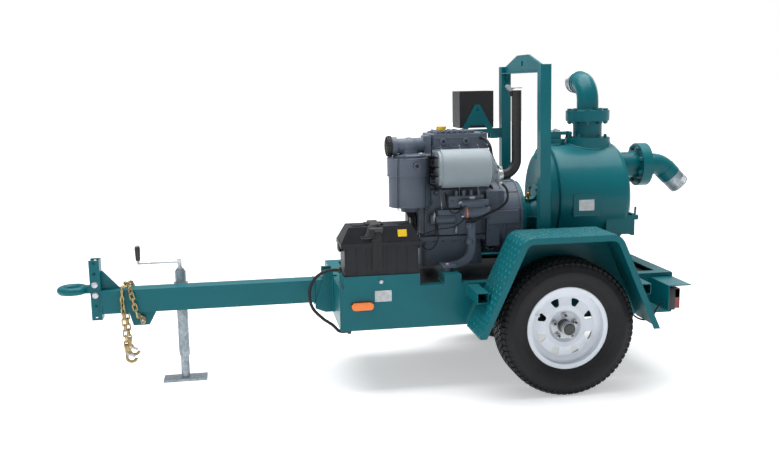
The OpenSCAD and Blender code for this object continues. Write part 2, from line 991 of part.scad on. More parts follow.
module bell_housing() {
    r = bell_d / 2;
    color(grey)
        place()
            difference() {
                union() {
                    xrod(bell_front + 60, bell_rear, 0, shaft_axis, r);
                    box(bell_front, bell_front + 70, -190, 190, 700, 990);
                    box(bell_front + 4, bell_rear - 30, -215, -150, 822, 888);
                    xrod(bell_front, bell_front + 70, 0, shaft_axis, r - 26);
                }
                xrod(bell_front + 30, bell_rear + 1, 0, shaft_axis, r - 18);
                xrod(bell_front - 1, bell_front + 40, 0, shaft_axis, 62);
            }
}

module flywheel_shaft() {
    color([0.45, 0.46, 0.48])
        place() {
            // front pulley
            difference() {
                xrod(-686, -658, 0, shaft_axis, 80, medium);
                translate([-672, 0, shaft_axis])
                    rotate([0, 90, 0])
                        rotate_extrude($fn = medium)
                            polygon([[81, -9], [81, 9], [66, 4], [66, -4]]);
            }
            xrod(-690, bell_front + 40, 0, shaft_axis, 30);
            // flywheel with its starter ring
            xrod(bell_front + 40, bell_front + 80, 0, shaft_axis, 165);
            xrod(bell_front + 45, bell_front + 60, 0, shaft_axis, 172);
            // flexible coupling
            xrod(bell_front + 80, bell_front + 110, 0, shaft_axis, 110, medium);
            xrod(bell_front + 110, bell_front + 170, 0, shaft_axis, 45, medium);
        }
}

module starter_motor() {
    color(grey)
        place() {
            xrod(-426, bell_front + 3.6, -230, 887, 31, medium);
            xrod(-440, -300.4, -225, 938, 18, medium);
            box(-420, -320, -238, -206, 880, 938);
            xrod(-436, -426, -230, 887, 24, medium);
        }
}

module air_filter() {
    r = filter_d / 2;
    color(grey)
        place() {
            difference() {
                union() {
                    zrod(filter_x, filter_y, 926, 1089, r - 2);
                    zrod(filter_x, filter_y, 1089, 1176, r + 4);
                    zrod(filter_x, filter_y, 1176, 1190, r - 25);
                    zrod(filter_x, filter_y, 898, 926, 48, medium);
                    zrod(filter_x, filter_y, 1189, 1191.6, 42, medium);
                }
                zrod(filter_x, filter_y, 932, 1170, r - 6);
                zrod(filter_x, filter_y, 1160, 1201, 36, medium);
            }
            // paper element
            difference() {
                zrod(filter_x, filter_y, 932, 1150, 78, medium);
                zrod(filter_x, filter_y, 931, 1151, 44, medium);
            }
            // service indicator on the lid
            yrod(filter_x + 18, filter_y - r - 16, filter_y - r + 6, 1142, 17, medium);
            // bracket to the engine
            box(-660, -650.4, -110, 60, 914, 985);
        }
}

module intake_elbow() {
    color(grey)
        place()
            difference() {
                union() {
                    zrod(filter_x, filter_y, 1193, 1236, 43.5, medium);
                    translate([filter_x, filter_y, 1236])
                        sphere(r = 46, $fn = medium);
                    translate([filter_x, filter_y, 1236])
                        rotate([0, 0, 34])
                            xrod(0, 114, 0, 0, 40.5, medium);
                    xrod(filter_x - 66, filter_x, filter_y, 1238, 39, medium);
                    xrod(filter_x - 92, filter_x - 66, filter_y, 1238, 47.5, medium);
                    // flange against the end of the valve cover
                    box(-616, -580.4, -136, -38, 1194, 1284);
                }
                zrod(filter_x, filter_y, 1189, 1236, 37, medium);
                xrod(filter_x - 93, filter_x, filter_y, 1238, 36, medium);
            }
}

module muffler() {
    r = muffler_d / 2;
    color([0.68, 0.73, 0.75])
        place()
            difference() {
                union() {
                    xrod(-566, -318, muffler_y, muffler_z, r);
                    translate([-318, muffler_y, muffler_z])
                        rotate([0, 90, 0])
                            cylinder(r1 = r, r2 = r - 30, h = 18, $fn = fine);
                    xrod(-580, -566, muffler_y, muffler_z, r - 8);
                    xrod(-310, -250, muffler_y, outlet_z, 25, medium);
                    for (x = [-540, -440, -340])
                        yrod(x, muffler_y + r - 25, muffler_y + r + 0.1, 1150, 22, medium);
                    xrod(-272, -258, muffler_y, outlet_z, 34, medium);
                }
                xrod(-563, -322, muffler_y, muffler_z, r - 3);
                xrod(-330, -249, muffler_y, outlet_z, 20, medium);
            }
}

module exhaust_pipe() {
    r = exhaust_pipe_d / 2;
    color(black)
        place() {
            difference() {
                union() {
                    xrod(-250, stack_x - 78, muffler_y, outlet_z, r);
                    translate([stack_x - 78, muffler_y, outlet_z])
                        elbow(78, r, 90);
                    zrod(stack_x, muffler_y, outlet_z + 78, stack_top, r);
                }
                zrod(stack_x, muffler_y, outlet_z + 78, stack_top + 1, r - 3);
                xrod(-251, stack_x - 78, muffler_y, outlet_z, r - 3);
            }
            // hinge lug of the rain cap
            difference() {
                box(stack_x - r - 13, stack_x - r + 2, muffler_y - 6, muffler_y + 6, stack_top - 30, stack_top + 9);
                yrod(stack_x - r - 6, muffler_y - 7, muffler_y + 7, stack_top + 2, 2.6, coarse);
            }
        }
}

module rain_cap() {
    r = exhaust_pipe_d / 2;
    color(silver)
        place() {
            difference() {
                zrod(stack_x, muffler_y, stack_top + 10, stack_top + 14, r + 4, medium);
                box(stack_x - r - 6, stack_x - r + 9, muffler_y - 7, muffler_y + 7, stack_top + 9, stack_top + 15);
            }
            yrod(stack_x - r - 6, muffler_y - 14, muffler_y + 14, stack_top + 2, 2.5, coarse);
            for (y = [-11, 7])
                side_plate(muffler_y + y, muffler_y + y + 4)
                    polygon([[stack_x - r - 12, stack_top - 4], [stack_x - r - 3, stack_top - 4],
                        [stack_x - r - 3, stack_top + 1], [stack_x - r + 16, stack_top + 10], [stack_x - r + 16, stack_top + 14],
                        [stack_x - r - 24, stack_top + 14], [stack_x - r - 24, stack_top + 6]]);
            yrod(stack_x - r - 20, muffler_y - 18, muffler_y + 18, stack_top + 20, 9, medium);
        }
}

// ---------- control panel ----------
module control_panel() {
    color(black)
        place() {
            difference() {
                box(-323, -125, panel_y, panel_y + 180, 1297, 1505);
                box(-320, -128, panel_y + 3, panel_y + 174, 1300, 1502);
            }
        }
}

// ---------- pump ----------
module revolved_x() {
    translate([0, 0, tank_axis])
        rotate([0, 90, 0])
            rotate_extrude($fn = 96)
                children();
}

module flange_holes(r) {
    for (a = [22.5 : 45 : 359])
        rotate([0, 0, a])
            translate([r, 0, -1])
                cylinder(r = 9, h = 3 * flange_t, $fn = coarse);
}

module suction_frame() {
    translate([suction_face, 0, suction_axis])
        rotate([0, 90, 0])
            children();
}

module discharge_frame() {
    translate([discharge_x, 0, 1335])
        children();
}

module pump_casing() {
    bolt_r = flange_r - 22;
    color(teal)
        place()
            difference() {
                union() {
                    difference() {
                        union() {
                            revolved_x()
                                polygon([[0, 30], [200, 30], [232, 42], [262, 70], [262, tank_front],
                                    [tank_r, tank_front], [tank_r, tank_rear - 34], [tank_r - 5, tank_rear - 18],
                                    [tank_r - 18, tank_rear - 5], [tank_r - 34, tank_rear], [0, tank_rear]]);
                            zrod(discharge_x, 0, tank_axis + 120, 1245, 122);
                            // clean-out chamber
                            box(335, 478, -258, 258, 740, 838);
                            // raised panel for the pump plate
                            box(143, 290, -tank_r - 4, -tank_r + 40, 852, 964);
                            xrod(tank_rear - 20, suction_face, 0, suction_axis, 70);
                            zrod(140, 0, tank_top - 40, 1228.5, 50, medium);
                        }
                        revolved_x()
                            polygon([[0, 92], [tank_r - 12, 92], [tank_r - 12, tank_rear - 30],
                                [tank_r - 30, tank_rear - 12], [0, tank_rear - 12]]);
                        box(350, 466, -240, 240, 752, 826);
                        box(460, 480, -165, 165, 758, 820);
                        zrod(140, 0, tank_top - 60, 1229.5, 38, medium);
                    }
                    // neck and flange of the discharge
                    zrod(discharge_x, 0, 1245, 1336, 78);
                    zrod(discharge_x, 0, 1335, 1335 + flange_t, flange_r);
                    zrod(discharge_x, 0, 1120, 1245, 66, medium);
                    xrod(suction_face, suction_face + flange_t, 0, suction_axis, flange_r);
                    // lugs of the check valve and of the filler clamp
                    for (y = [-22, 14])
                        box(446, tank_rear - 10, y, y + 8, suction_axis + 60, suction_axis + 80);
                    for (y = [-21, 13.5])
                        side_plate(y, y + 7.5)
                            polygon([[204, 1240], [228, 1240], [224, 1280], [208, 1280]]);
                    // shaft chamber around the impeller
                    difference() {
                        xrod(30.2, 176, 0, shaft_axis, 155);
                        xrod(100, 164, 0, shaft_axis, 140);
                        xrod(160, 180, 0, shaft_axis, 60, medium);
                        box(110, 155, -60, 60, shaft_axis + 120, shaft_axis + 170);
                    }
                    // feet
                    for (x = [150, 350])
                        for (s = [-1, 1])
                            box(x, x + 60, min(s * 90, s * 220), max(s * 90, s * 220), rail_top + 20, 700);
                    // small bosses and plug around the neck
                    for (a = [45 : 90 : 359])
                        rotate_about(discharge_x, 0, a)
                            zrod(104, 0, 1240, 1256, 9, coarse);
                    zrod(440, 0, tank_top - 30, tank_top + 6, 14, coarse);
                }
                zrod(discharge_x, 0, 1080, 1400, bore_r);
                xrod(tank_rear - 14, 700, 0, suction_axis, bore_r);
                xrod(20, 102, 0, shaft_axis, 24 + running_gap);
                yrod(453, -30, 30, suction_axis + 68, 3 + running_gap, coarse);
                yrod(216, -30, 30, 1270, 4 + running_gap, coarse);
                discharge_frame()
                    flange_holes(bolt_r);
                suction_frame()
                    flange_holes(bolt_r);
            }
}

module rotate_about(x, y, a) {
    translate([x, y, 0])
        rotate([0, 0, a])
            children();
}

module bearing_frame() {
    color(teal)
        place()
            difference() {
                translate([0, 0, shaft_axis])
                    rotate([0, 90, 0])
                        rotate_extrude($fn = fine)
                            polygon([[24 + running_gap, -70], [66, -70], [96, -80], [96, -99.6], [188, -99.6],
                                [188, -82], [128, -74], [100, -56], [92, -20], [104, 10], [170, 18], [170, 29.8],
                                [24 + running_gap, 29.8]]);
                for (a = [30 : 60 : 359])
                    translate([-99, 0, shaft_axis])
                        rotate([a, 0, 0])
                            translate([-2, 165, 0])
                                rotate([0, 90, 0])
                                    cylinder(r = 7, h = 40, $fn = coarse);
            }
}

module impeller_shaft() {
    color([0.6, 0.6, 0.62])
        place() {
            xrod(-129.6, 154, 0, shaft_axis, 24);
            xrod(-129.6, -110, 0, shaft_axis, 44, medium);
            xrod(103, 109, 0, shaft_axis, 132);
            for (a = [0 : 120 : 359])
                translate([106, 0, shaft_axis])
                    rotate([a, 0, 0])
                        translate([0, 20, -6])
                            cube([46, 106, 12]);
            xrod(109, 158, 0, shaft_axis, 30, medium);
        }
}

// starts along +x at the origin and turns toward +z
module elbow(radius, r, turn) {
    translate([0, 0, radius])
        rotate([90, 0, 0])
            rotate([0, 0, -90])
                rotate_extrude(angle = turn, $fn = fine)
                    translate([radius, 0])
                        circle(r = r, $fn = fine);
}

module discharge_bend(r) {
    translate([discharge_x, 0, discharge_axis - elbow_r])
        rotate([0, 0, -90])
            rotate([0, -90, 0])
                elbow(elbow_r, r, 90);
}

module discharge_elbow() {
    low = 1335 + flange_t;
    color(teal)
        place()
            difference() {
                union() {
                    zrod(discharge_x, 0, low, low + flange_t, flange_r);
                    zrod(discharge_x, 0, low, discharge_axis - elbow_r, pipe_r + 1);
                    discharge_bend(pipe_r + 1);
                    yrod(discharge_x, elbow_r, elbow_r + 26, discharge_axis, pipe_r + 3);
                }
                zrod(discharge_x, 0, low - 1, discharge_axis - elbow_r, bore_r);
                discharge_bend(bore_r);
                yrod(discharge_x, elbow_r, elbow_r + 27, discharge_axis, bore_r);
                translate([0, 0, low - 1335])
                    discharge_frame()
                        flange_holes(flange_r - 22);
            }
}

// nipple end face at the origin, +x points out of the pipe
module suction_end() {
    drop = (end_x - (suction_face + 2 * flange_t + suction_bend + elbow_r * tan(22.5)));
    translate([end_x, 0, suction_axis - drop])
        rotate([0, 45, 0])
            children();
}

module suction_bend_part(r) {
    translate([suction_face + 2 * flange_t + suction_bend, 0, suction_axis])
        mirror([0, 0, 1])
            elbow(elbow_r, r, 45);
}

module suction_elbow() {
    x0 = suction_face + flange_t;
    x1 = suction_face + 2 * flange_t + suction_bend;
    total = (end_x - x1 - elbow_r * tan(22.5)) / cos(45) - elbow_r * tan(22.5);
    color(teal)
        place()
            difference() {
                union() {
                    xrod(x0, x0 + flange_t, 0, suction_axis, flange_r);
                    xrod(x0, x1, 0, suction_axis, pipe_r + 1);
                    suction_bend_part(pipe_r + 1);
                    suction_end()
                        xrod(-total - 1, -nipple_len, 0, 0, pipe_r + 3);
                }
                xrod(x0 - 1, x1, 0, suction_axis, bore_r);
                suction_bend_part(bore_r);
                suction_end()
                    xrod(-total - 1, -nipple_len + 1, 0, 0, bore_r + 1);
                translate([flange_t, 0, 0])
                    suction_frame()
                        flange_holes(flange_r - 22);
            }
}

module pipe_nipples() {
    color([0.75, 0.77, 0.79])
        place() {
            suction_end()
                difference() {
                    xrod(-nipple_len, 0, 0, 0, pipe_r);
                    xrod(-nipple_len - 1, 1, 0, 0, bore_r);
                }
            difference() {
                yrod(discharge_x, elbow_r + 26, elbow_r + 26 + nipple_len, discharge_axis, pipe_r);
                yrod(discharge_x, elbow_r + 25, elbow_r + 27 + nipple_len, discharge_axis, bore_r);
            }
        }
}

module flange_bolts(r) {
    for (a = [22.5 : 45 : 359])
        rotate([0, 0, a])
            translate([r, 0, 0]) {
                translate([0, 0, -13])
                    cylinder(r = 13.5, h = 13, $fn = 6);
                translate([0, 0, -18])
                    cylinder(r = 8, h = 2 * flange_t + 22, $fn = coarse);
                translate([0, 0, 2 * flange_t])
                    cylinder(r = 13.5, h = 10, $fn = 6);
            }
}

module hex_bolts() {
    color([0.66, 0.67, 0.68])
        place() {
            for (s = [-0.5, 0.5])
                hex_bolt_y(hole_x, -channel_inner - channel_wall, eye_z + s * hitch_pitch, hitch_bolt, 88);
            for (s = [-1, 1])
                translate([0, s * 9.7, 0])
                    yrod(-2100, -2.4, 2.4, 365, 10, coarse);
            yrod(-2100, -27, 27, 365, 5.5, coarse);
            hex_bolt_y(-897, -half_frame - 0.3, 584, 10, 5);
            both()
                hex_bolt_z(-540, -300, 633.4, 14, 12);
            for (s = [-1, 1])
                hex_bolt_z(-1135, s * 30, rail_top + 8.4, 14, 6);
            discharge_frame()
                flange_bolts(flange_r - 22);
            suction_frame()
                flange_bolts(flange_r - 22);
        }
}

module fill_clamp() {
    color(teal)
        place()
            difference() {
                union() {
                    zrod(140, 0, 1229, 1240, 52, medium);
                    zrod(140, 0, 1222, 1229, 30, medium);
                    box(92, 206, -12, 12, 1262, 1280);
                    box(204, 222, -12, 12, 1262, 1278);
                    for (y = [-12, 9])
                        box(112, 168, y, y + 3, 1239, 1263);
                    yrod(216, -22, 22, 1270, 4, coarse);
                }
                zrod(140, 0, 1260, 1282, 8 + running_gap, medium);
            }
}

module clamp_screw() {
    color(silver)
        place() {
            zrod(140, 0, 1240.5, 1292, 8, medium);
            translate([140, 0, 1280.6])
                cylinder(r = 15, h = 12, $fn = 6);
            xrod(114, 166, 0, 1287, 5, coarse);
        }
}

module rear_cover() {
    color(teal)
        place()
            difference() {
                union() {
                    box(478.5, 494, -255, 255, 732, 848);
                    box(494, 502, -225, 225, 752, 828);
                }
                for (y = [-185, 185])
                    xrod(478, 503, y, 818, 8.5, coarse);
            }
}

module t_handle(y) {
    xrod(479.5, 540, y, 818, 7.5, coarse);
    xrod(502.5, 540, y, 818, 14, coarse);
    translate([524, y, 818])
        rotate([10, 0, 0])
            zrod(0, 0, -10, 58, 5.5, coarse);
}

module t_handle_near() {
    color(teal)
        place()
            t_handle(-185);
}

module t_handle_far() {
    color(teal)
        place()
            t_handle(185);
}

module check_flap() {
    color(black)
        place() {
            xrod(449.5, tank_rear - 12.5, 0, suction_axis, 58, fine);
            box(449.5, tank_rear - 12.5, -12, 12, suction_axis + 50, suction_axis + 68);
            yrod(453, -23, 23, suction_axis + 68, 3, coarse);
        }
}

frame();
tongue_tube();
hitch_channel();
lunette_eye();
hex_bolts();
safety_chains();
hook_near();
hook_far();
latch_near();
latch_far();
jack_tube();
jack_leg();
jack_crank();
jack_grip();
fuel_tank();
fuel_cap();
axle();
hub_near();
hub_far();
rim_near();
rim_far();
tyre_near();
tyre_far();
fenders();
lifting_bail();
tail_lamps();
marker_lamps();
data_plates();
battery_tray();
battery_box();
battery_lid();
battery();
battery_strap();
cable_front();
engine_block();
oil_pan();
cylinder_head();
valve_cover();
oil_cap();
bell_housing();
flywheel_shaft();
starter_motor();
air_filter();
intake_elbow();
muffler();
exhaust_pipe();
rain_cap();
control_panel();
pump_casing();
bearing_frame();
impeller_shaft();
discharge_elbow();
suction_elbow();
pipe_nipples();
fill_clamp();
clamp_screw();
rear_cover();
t_handle_near();
t_handle_far();
check_flap();
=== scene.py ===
"""Portable fire pump: a diesel engine and a self-priming pump on a one-axle trailer."""

import math

import bmesh
import bpy
from mathutils import Matrix, Vector


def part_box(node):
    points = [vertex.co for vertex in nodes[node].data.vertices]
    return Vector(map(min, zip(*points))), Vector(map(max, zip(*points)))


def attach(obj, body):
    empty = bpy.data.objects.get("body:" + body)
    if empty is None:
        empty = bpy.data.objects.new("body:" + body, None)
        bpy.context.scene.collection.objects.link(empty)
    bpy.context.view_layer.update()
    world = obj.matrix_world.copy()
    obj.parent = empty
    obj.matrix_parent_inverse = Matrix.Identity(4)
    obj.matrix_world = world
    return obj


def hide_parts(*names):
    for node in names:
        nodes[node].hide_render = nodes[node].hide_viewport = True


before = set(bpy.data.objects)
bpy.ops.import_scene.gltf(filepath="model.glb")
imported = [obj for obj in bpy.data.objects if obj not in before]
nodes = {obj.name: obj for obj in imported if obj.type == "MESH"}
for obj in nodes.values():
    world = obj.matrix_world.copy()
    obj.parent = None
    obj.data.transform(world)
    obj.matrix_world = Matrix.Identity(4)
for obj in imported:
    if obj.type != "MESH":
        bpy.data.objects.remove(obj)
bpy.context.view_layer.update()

# --- Camera -----------------------------------------------------------------
# A slightly raised three-quarter side view, from near the front wheel corner.
lens = bpy.data.cameras.new("camera")
lens.lens = 42.58
lens.clip_end = 60
camera = bpy.data.objects.new("camera", lens)
bpy.context.scene.collection.objects.link(camera)
heading = 0.1564
tilt = 0.1527
lean = -0.02037
ahead = Vector((math.sin(heading) * math.cos(tilt), math.cos(heading) * math.cos(tilt), -math.sin(tilt)))
right = ahead.cross(Vector((0, 0, 1))).normalized()
up = right.cross(ahead)
turned_right = right * math.cos(lean) + up * math.sin(lean)
turned_up = up * math.cos(lean) - right * math.sin(lean)
camera.matrix_world = Matrix.LocRotScale(
    Vector((-0.7408, -4.84495, 1.5603)),
    Matrix((turned_right, turned_up, -ahead)).transposed(),
    None,
)
bpy.context.scene.camera = camera


# --- Node tools -------------------------------------------------------------
# One call adds a shader node with its settings and wires or fills its inputs.
def add(tree, kind, inputs=None, **settings):
    """Adds a node; an input that is given a socket is linked to it."""
    made = tree.nodes.new("ShaderNode" + kind)
    for name, value in settings.items():
        setattr(made, name, value)
    for name, value in (inputs or {}).items():
        if isinstance(value, bpy.types.NodeSocket):
            tree.links.new(value, made.inputs[name])
        else:
            made.inputs[name].default_value = value
    return made


def noise(tree, where, scale, detail=2.0, roughness=0.5):
    """Gives the value of a noise pattern."""
    return add(tree, "TexNoise", {"Vector": where, "Scale": scale, "Detail": detail,
                                  "Roughness": roughness}).outputs[0]


def spread(tree, value, low, high, to_low=0.0, to_high=1.0):
    """Maps a range of a value onto another range, and holds it there."""
    return add(tree, "MapRange", {"Value": value, "From Min": low, "From Max": high, "To Min": to_low,
                                  "To Max": to_high}).outputs[0]


def blend_colour(tree, share, first, second, how="MIX"):
    """Mixes two colours."""
    mixed = add(tree, "Mix", data_type="RGBA", blend_type=how)
    for socket, value in ((mixed.inputs[0], share), (mixed.inputs[6], first), (mixed.inputs[7], second)):
        if isinstance(value, bpy.types.NodeSocket):
            tree.links.new(value, socket)
        else:
            socket.default_value = value
    return mixed.outputs[2]


def effect(name, sockets):
    """Starts a node group with these inputs, and with a colour, a roughness and a normal for outputs."""
    group = bpy.data.node_groups.new(name, "ShaderNodeTree")
    for label, kind in sockets:
        group.interface.new_socket(label, in_out="INPUT", socket_type=kind)
    for label, kind in (("Color", "NodeSocketColor"), ("Roughness", "NodeSocketFloat"),
                        ("Normal", "NodeSocketVector")):
        group.interface.new_socket(label, in_out="OUTPUT", socket_type=kind)
    entry = group.nodes.new("NodeGroupInput").outputs
    leave = group.nodes.new("NodeGroupOutput").inputs
    where = group.nodes.new("ShaderNodeTexCoord").outputs["Object"]
    return group, entry, leave, where


# --- Painted metal ----------------------------------------------------------
# Industrial gloss paint: soft orange peel, patchy colour, dust on upward faces and scuffs.
coat, entry, leave, where = effect("paint_coat", [
    ("Paint", "NodeSocketColor"), ("Patch", "NodeSocketColor"), ("Dust", "NodeSocketColor"),
    ("Peel", "NodeSocketFloat"), ("Depth", "NodeSocketFloat"), ("Gloss", "NodeSocketFloat"),
    ("Dusty", "NodeSocketFloat")])
patchy = spread(coat, noise(coat, where, 3.1, 4.0, 0.6), 0.38, 0.68)
fine = noise(coat, where, 46.0, 5.0, 0.65)
facing = add(coat, "SeparateXYZ", {"Vector": add(coat, "NewGeometry").outputs["Normal"]}).outputs[2]
settled = add(coat, "Math", {0: spread(coat, facing, 0.35, 1.0), 1: spread(coat, fine, 0.35, 0.75, 0.4, 1.0)},
              operation="MULTIPLY").outputs[0]
dusted = add(coat, "Math", {0: settled, 1: entry["Dusty"]}, operation="MULTIPLY").outputs[0]
scuff = spread(coat, noise(coat, where, 17.0, 8.0, 0.78), 0.68, 0.76, 0.0, 0.16)
body = blend_colour(coat, patchy, entry["Paint"], entry["Patch"])
body = blend_colour(coat, spread(coat, fine, 0.3, 0.8, 0.0, 0.22), body, entry["Patch"])
body = blend_colour(coat, dusted, body, entry["Dust"])
body = blend_colour(coat, scuff, body, entry["Dust"])
coat.links.new(body, leave["Color"])
dulled = add(coat, "Math", {0: spread(coat, fine, 0.3, 0.8, 0.0, 0.14), 1: entry["Gloss"]}).outputs[0]
dulled = add(coat, "Math", {0: dusted, 1: 0.35, 2: dulled}, operation="MULTIPLY_ADD").outputs[0]
coat.links.new(dulled, leave["Roughness"])
peel = add(coat, "TexNoise", {"Vector": where, "Scale": entry["Peel"], "Detail": 2.0}).outputs[0]
coat.links.new(add(coat, "Bump", {"Strength": entry["Depth"], "Distance": 0.002, "Height": peel}).outputs[0],
               leave["Normal"])


def finish(name, group, values, metallic=0.0, coat_weight=0.0, specular=0.5, sheen=0.0):
    """Makes a material whose colour, roughness and relief come from a group of nodes."""
    made = bpy.data.materials.new(name)
    made.use_nodes = True
    tree = made.node_tree
    shader = tree.nodes["Principled BSDF"]
    surface = tree.nodes.new("ShaderNodeGroup")
    surface.node_tree = group
    for label, value in values.items():
        surface.inputs[label].default_value = value
    tree.links.new(surface.outputs["Color"], shader.inputs["Base Color"])
    tree.links.new(surface.outputs["Roughness"], shader.inputs["Roughness"])
    tree.links.new(surface.outputs["Normal"], shader.inputs["Normal"])
    shader.inputs["Metallic"].default_value = metallic
    shader.inputs["Coat Weight"].default_value = coat_weight
    shader.inputs["Coat Roughness"].default_value = 0.12
    shader.inputs["Specular IOR Level"].default_value = specular
    shader.inputs["Sheen Weight"].default_value = sheen
    made.diffuse_color = (*list(values.values())[0][:3], 1)
    return made


teal_paint = finish("teal_paint", coat, {
    "Paint": (0.0, 0.104, 0.126, 1), "Patch": (0.001, 0.122, 0.143, 1), "Dust": (0.10, 0.30, 0.32, 1),
    "Peel": 260.0, "Depth": 0.10, "Gloss": 0.30, "Dusty": 0.16}, coat_weight=0.10, specular=0.2)
engine_enamel = finish("engine_enamel", coat, {
    "Paint": (0.088, 0.112, 0.150, 1), "Patch": (0.066, 0.084, 0.115, 1), "Dust": (0.20, 0.22, 0.25, 1),
    "Peel": 190.0, "Depth": 0.32, "Gloss": 0.42, "Dusty": 0.3})
muffler_paint = finish("muffler_paint", coat, {
    "Paint": (0.265, 0.31, 0.335, 1), "Patch": (0.22, 0.262, 0.285, 1), "Dust": (0.40, 0.43, 0.43, 1),
    "Peel": 320.0, "Depth": 0.12, "Gloss": 0.50, "Dusty": 0.1})
black_enamel = finish("black_enamel", coat, {
    "Paint": (0.012, 0.012, 0.014, 1), "Patch": (0.022, 0.019, 0.019, 1), "Dust": (0.07, 0.065, 0.065, 1),
    "Peel": 300.0, "Depth": 0.14, "Gloss": 0.38, "Dusty": 0.25}, specular=0.35)
white_enamel = finish("white_enamel", coat, {
    "Paint": (0.74, 0.77, 0.82, 1), "Patch": (0.66, 0.70, 0.76, 1), "Dust": (0.52, 0.52, 0.52, 1),
    "Peel": 300.0, "Depth": 0.06, "Gloss": 0.26, "Dusty": 0.05}, coat_weight=0.3)

# --- Bare and plated metal --------------------------------------------------
# Zinc spangle, plating tints and casting grain, from one group with different scales.
plated, entry, leave, where = effect("plated_metal", [
    ("Metal", "NodeSocketColor"), ("Tint", "NodeSocketColor"), ("Grain", "NodeSocketFloat"),
    ("Depth", "NodeSocketFloat"), ("Gloss", "NodeSocketFloat")])
spangle = add(plated, "TexVoronoi", {"Vector": where, "Scale": entry["Grain"]}).outputs["Color"]
spangle = add(plated, "RGBToBW", {"Color": spangle}).outputs[0]
tarnish = spread(plated, noise(plated, where, 21.0, 6.0, 0.7), 0.4, 0.7)
shade = add(plated, "Math", {0: spread(plated, spangle, 0.2, 0.8, 0.0, 0.5), 1: tarnish},
            use_clamp=True).outputs[0]
plated.links.new(blend_colour(plated, shade, entry["Metal"], entry["Tint"]), leave["Color"])
plated.links.new(add(plated, "Math", {0: spread(plated, shade, 0.0, 1.0, 0.0, 0.2),
                                      1: entry["Gloss"]}).outputs[0],
                 leave["Roughness"])
rough = add(plated, "TexNoise", {"Vector": where, "Scale": entry["Grain"], "Detail": 5.0}).outputs[0]
plated.links.new(add(plated, "Bump", {"Strength": entry["Depth"], "Distance": 0.0015,
                                      "Height": rough}).outputs[0],
                 leave["Normal"])
galvanised = finish("galvanised", plated, {
    "Metal": (0.40, 0.45, 0.48, 1), "Tint": (0.24, 0.28, 0.31, 1), "Grain": 120.0, "Depth": 0.2,
    "Gloss": 0.38},
    metallic=0.75)
bright_steel = finish("bright_steel", plated, {
    "Metal": (0.62, 0.63, 0.65, 1), "Tint": (0.42, 0.43, 0.45, 1), "Grain": 260.0, "Depth": 0.12,
    "Gloss": 0.26},
    metallic=0.85)
yellow_zinc = finish("yellow_zinc", plated, {
    "Metal": (0.52, 0.40, 0.15, 1), "Tint": (0.30, 0.21, 0.12, 1), "Grain": 90.0, "Depth": 0.2,
    "Gloss": 0.32},
    metallic=0.8)
cast_black = finish("cast_black", plated, {
    "Metal": (0.045, 0.045, 0.048, 1), "Tint": (0.09, 0.088, 0.085, 1), "Grain": 210.0, "Depth": 0.35,
    "Gloss": 0.40},
    metallic=0.45)
plate_metal = finish("plate_metal", plated, {
    "Metal": (0.58, 0.60, 0.60, 1), "Tint": (0.44, 0.46, 0.47, 1), "Grain": 340.0, "Depth": 0.08,
    "Gloss": 0.34},
    metallic=0.6)
brass = finish("brass", plated, {
    "Metal": (0.62, 0.42, 0.13, 1), "Tint": (0.36, 0.24, 0.09, 1), "Grain": 240.0, "Depth": 0.1,
    "Gloss": 0.3},
    metallic=0.9)

# Bolts are bright, but those of the two pump flanges were painted with the pump.
bolt_metal = finish("bolt_metal", plated, {
    "Metal": (0.62, 0.63, 0.65, 1), "Tint": (0.42, 0.43, 0.45, 1), "Grain": 260.0, "Depth": 0.12,
    "Gloss": 0.26})
tree = bolt_metal.node_tree
shader = tree.nodes["Principled BSDF"]
at = add(tree, "SeparateXYZ", {"Vector": add(tree, "TexCoord").outputs["Object"]}).outputs
rearward = add(tree, "Math", {0: at[0], 1: 0.95}, operation="GREATER_THAN").outputs[0]
raised = add(tree, "Math", {0: at[2], 1: 0.94}, operation="GREATER_THAN").outputs[0]
painted = add(tree, "Math", {0: rearward, 1: raised}, operation="MULTIPLY").outputs[0]
bare = shader.inputs["Base Color"].links[0].from_socket
tree.links.new(blend_colour(tree, painted, bare, (0.0, 0.112, 0.135, 1)), shader.inputs["Base Color"])
tree.links.new(spread(tree, painted, 0.0, 1.0, 0.85, 0.0), shader.inputs["Metallic"])

# --- Plastic and rubber -----------------------------------------------------
# Moulded grain with grey bloom in patches; the tyre, cable, lenses and grips share it.
moulded, entry, leave, where = effect("moulded_grain", [
    ("Plastic", "NodeSocketColor"), ("Bloom", "NodeSocketColor"), ("Grain", "NodeSocketFloat"),
    ("Depth", "NodeSocketFloat"), ("Gloss", "NodeSocketFloat"), ("Dusty", "NodeSocketFloat")])
clouds = spread(moulded, noise(moulded, where, 8.0, 7.0, 0.72), 0.42, 0.75)
cloudy = add(moulded, "Math", {0: clouds, 1: entry["Dusty"]}, operation="MULTIPLY").outputs[0]
moulded.links.new(blend_colour(moulded, cloudy, entry["Plastic"], entry["Bloom"]), leave["Color"])
moulded.links.new(add(moulded, "Math", {0: cloudy, 1: 0.25, 2: entry["Gloss"]},
                      operation="MULTIPLY_ADD").outputs[0], leave["Roughness"])
pebbles = add(moulded, "TexVoronoi", {"Vector": where, "Scale": entry["Grain"]}).outputs["Distance"]
moulded.links.new(add(moulded, "Bump", {"Strength": entry["Depth"], "Distance": 0.001,
                                        "Height": pebbles}).outputs[0],
                  leave["Normal"])
black_plastic = finish("black_plastic", moulded, {
    "Plastic": (0.010, 0.011, 0.014, 1), "Bloom": (0.038, 0.038, 0.045, 1), "Grain": 420.0, "Depth": 0.25,
    "Gloss": 0.44, "Dusty": 0.3}, specular=0.3)
grip_plastic = finish("grip_plastic", moulded, {
    "Plastic": (0.012, 0.012, 0.013, 1), "Bloom": (0.05, 0.05, 0.05, 1), "Grain": 300.0, "Depth": 0.1,
    "Gloss": 0.30, "Dusty": 0.2})
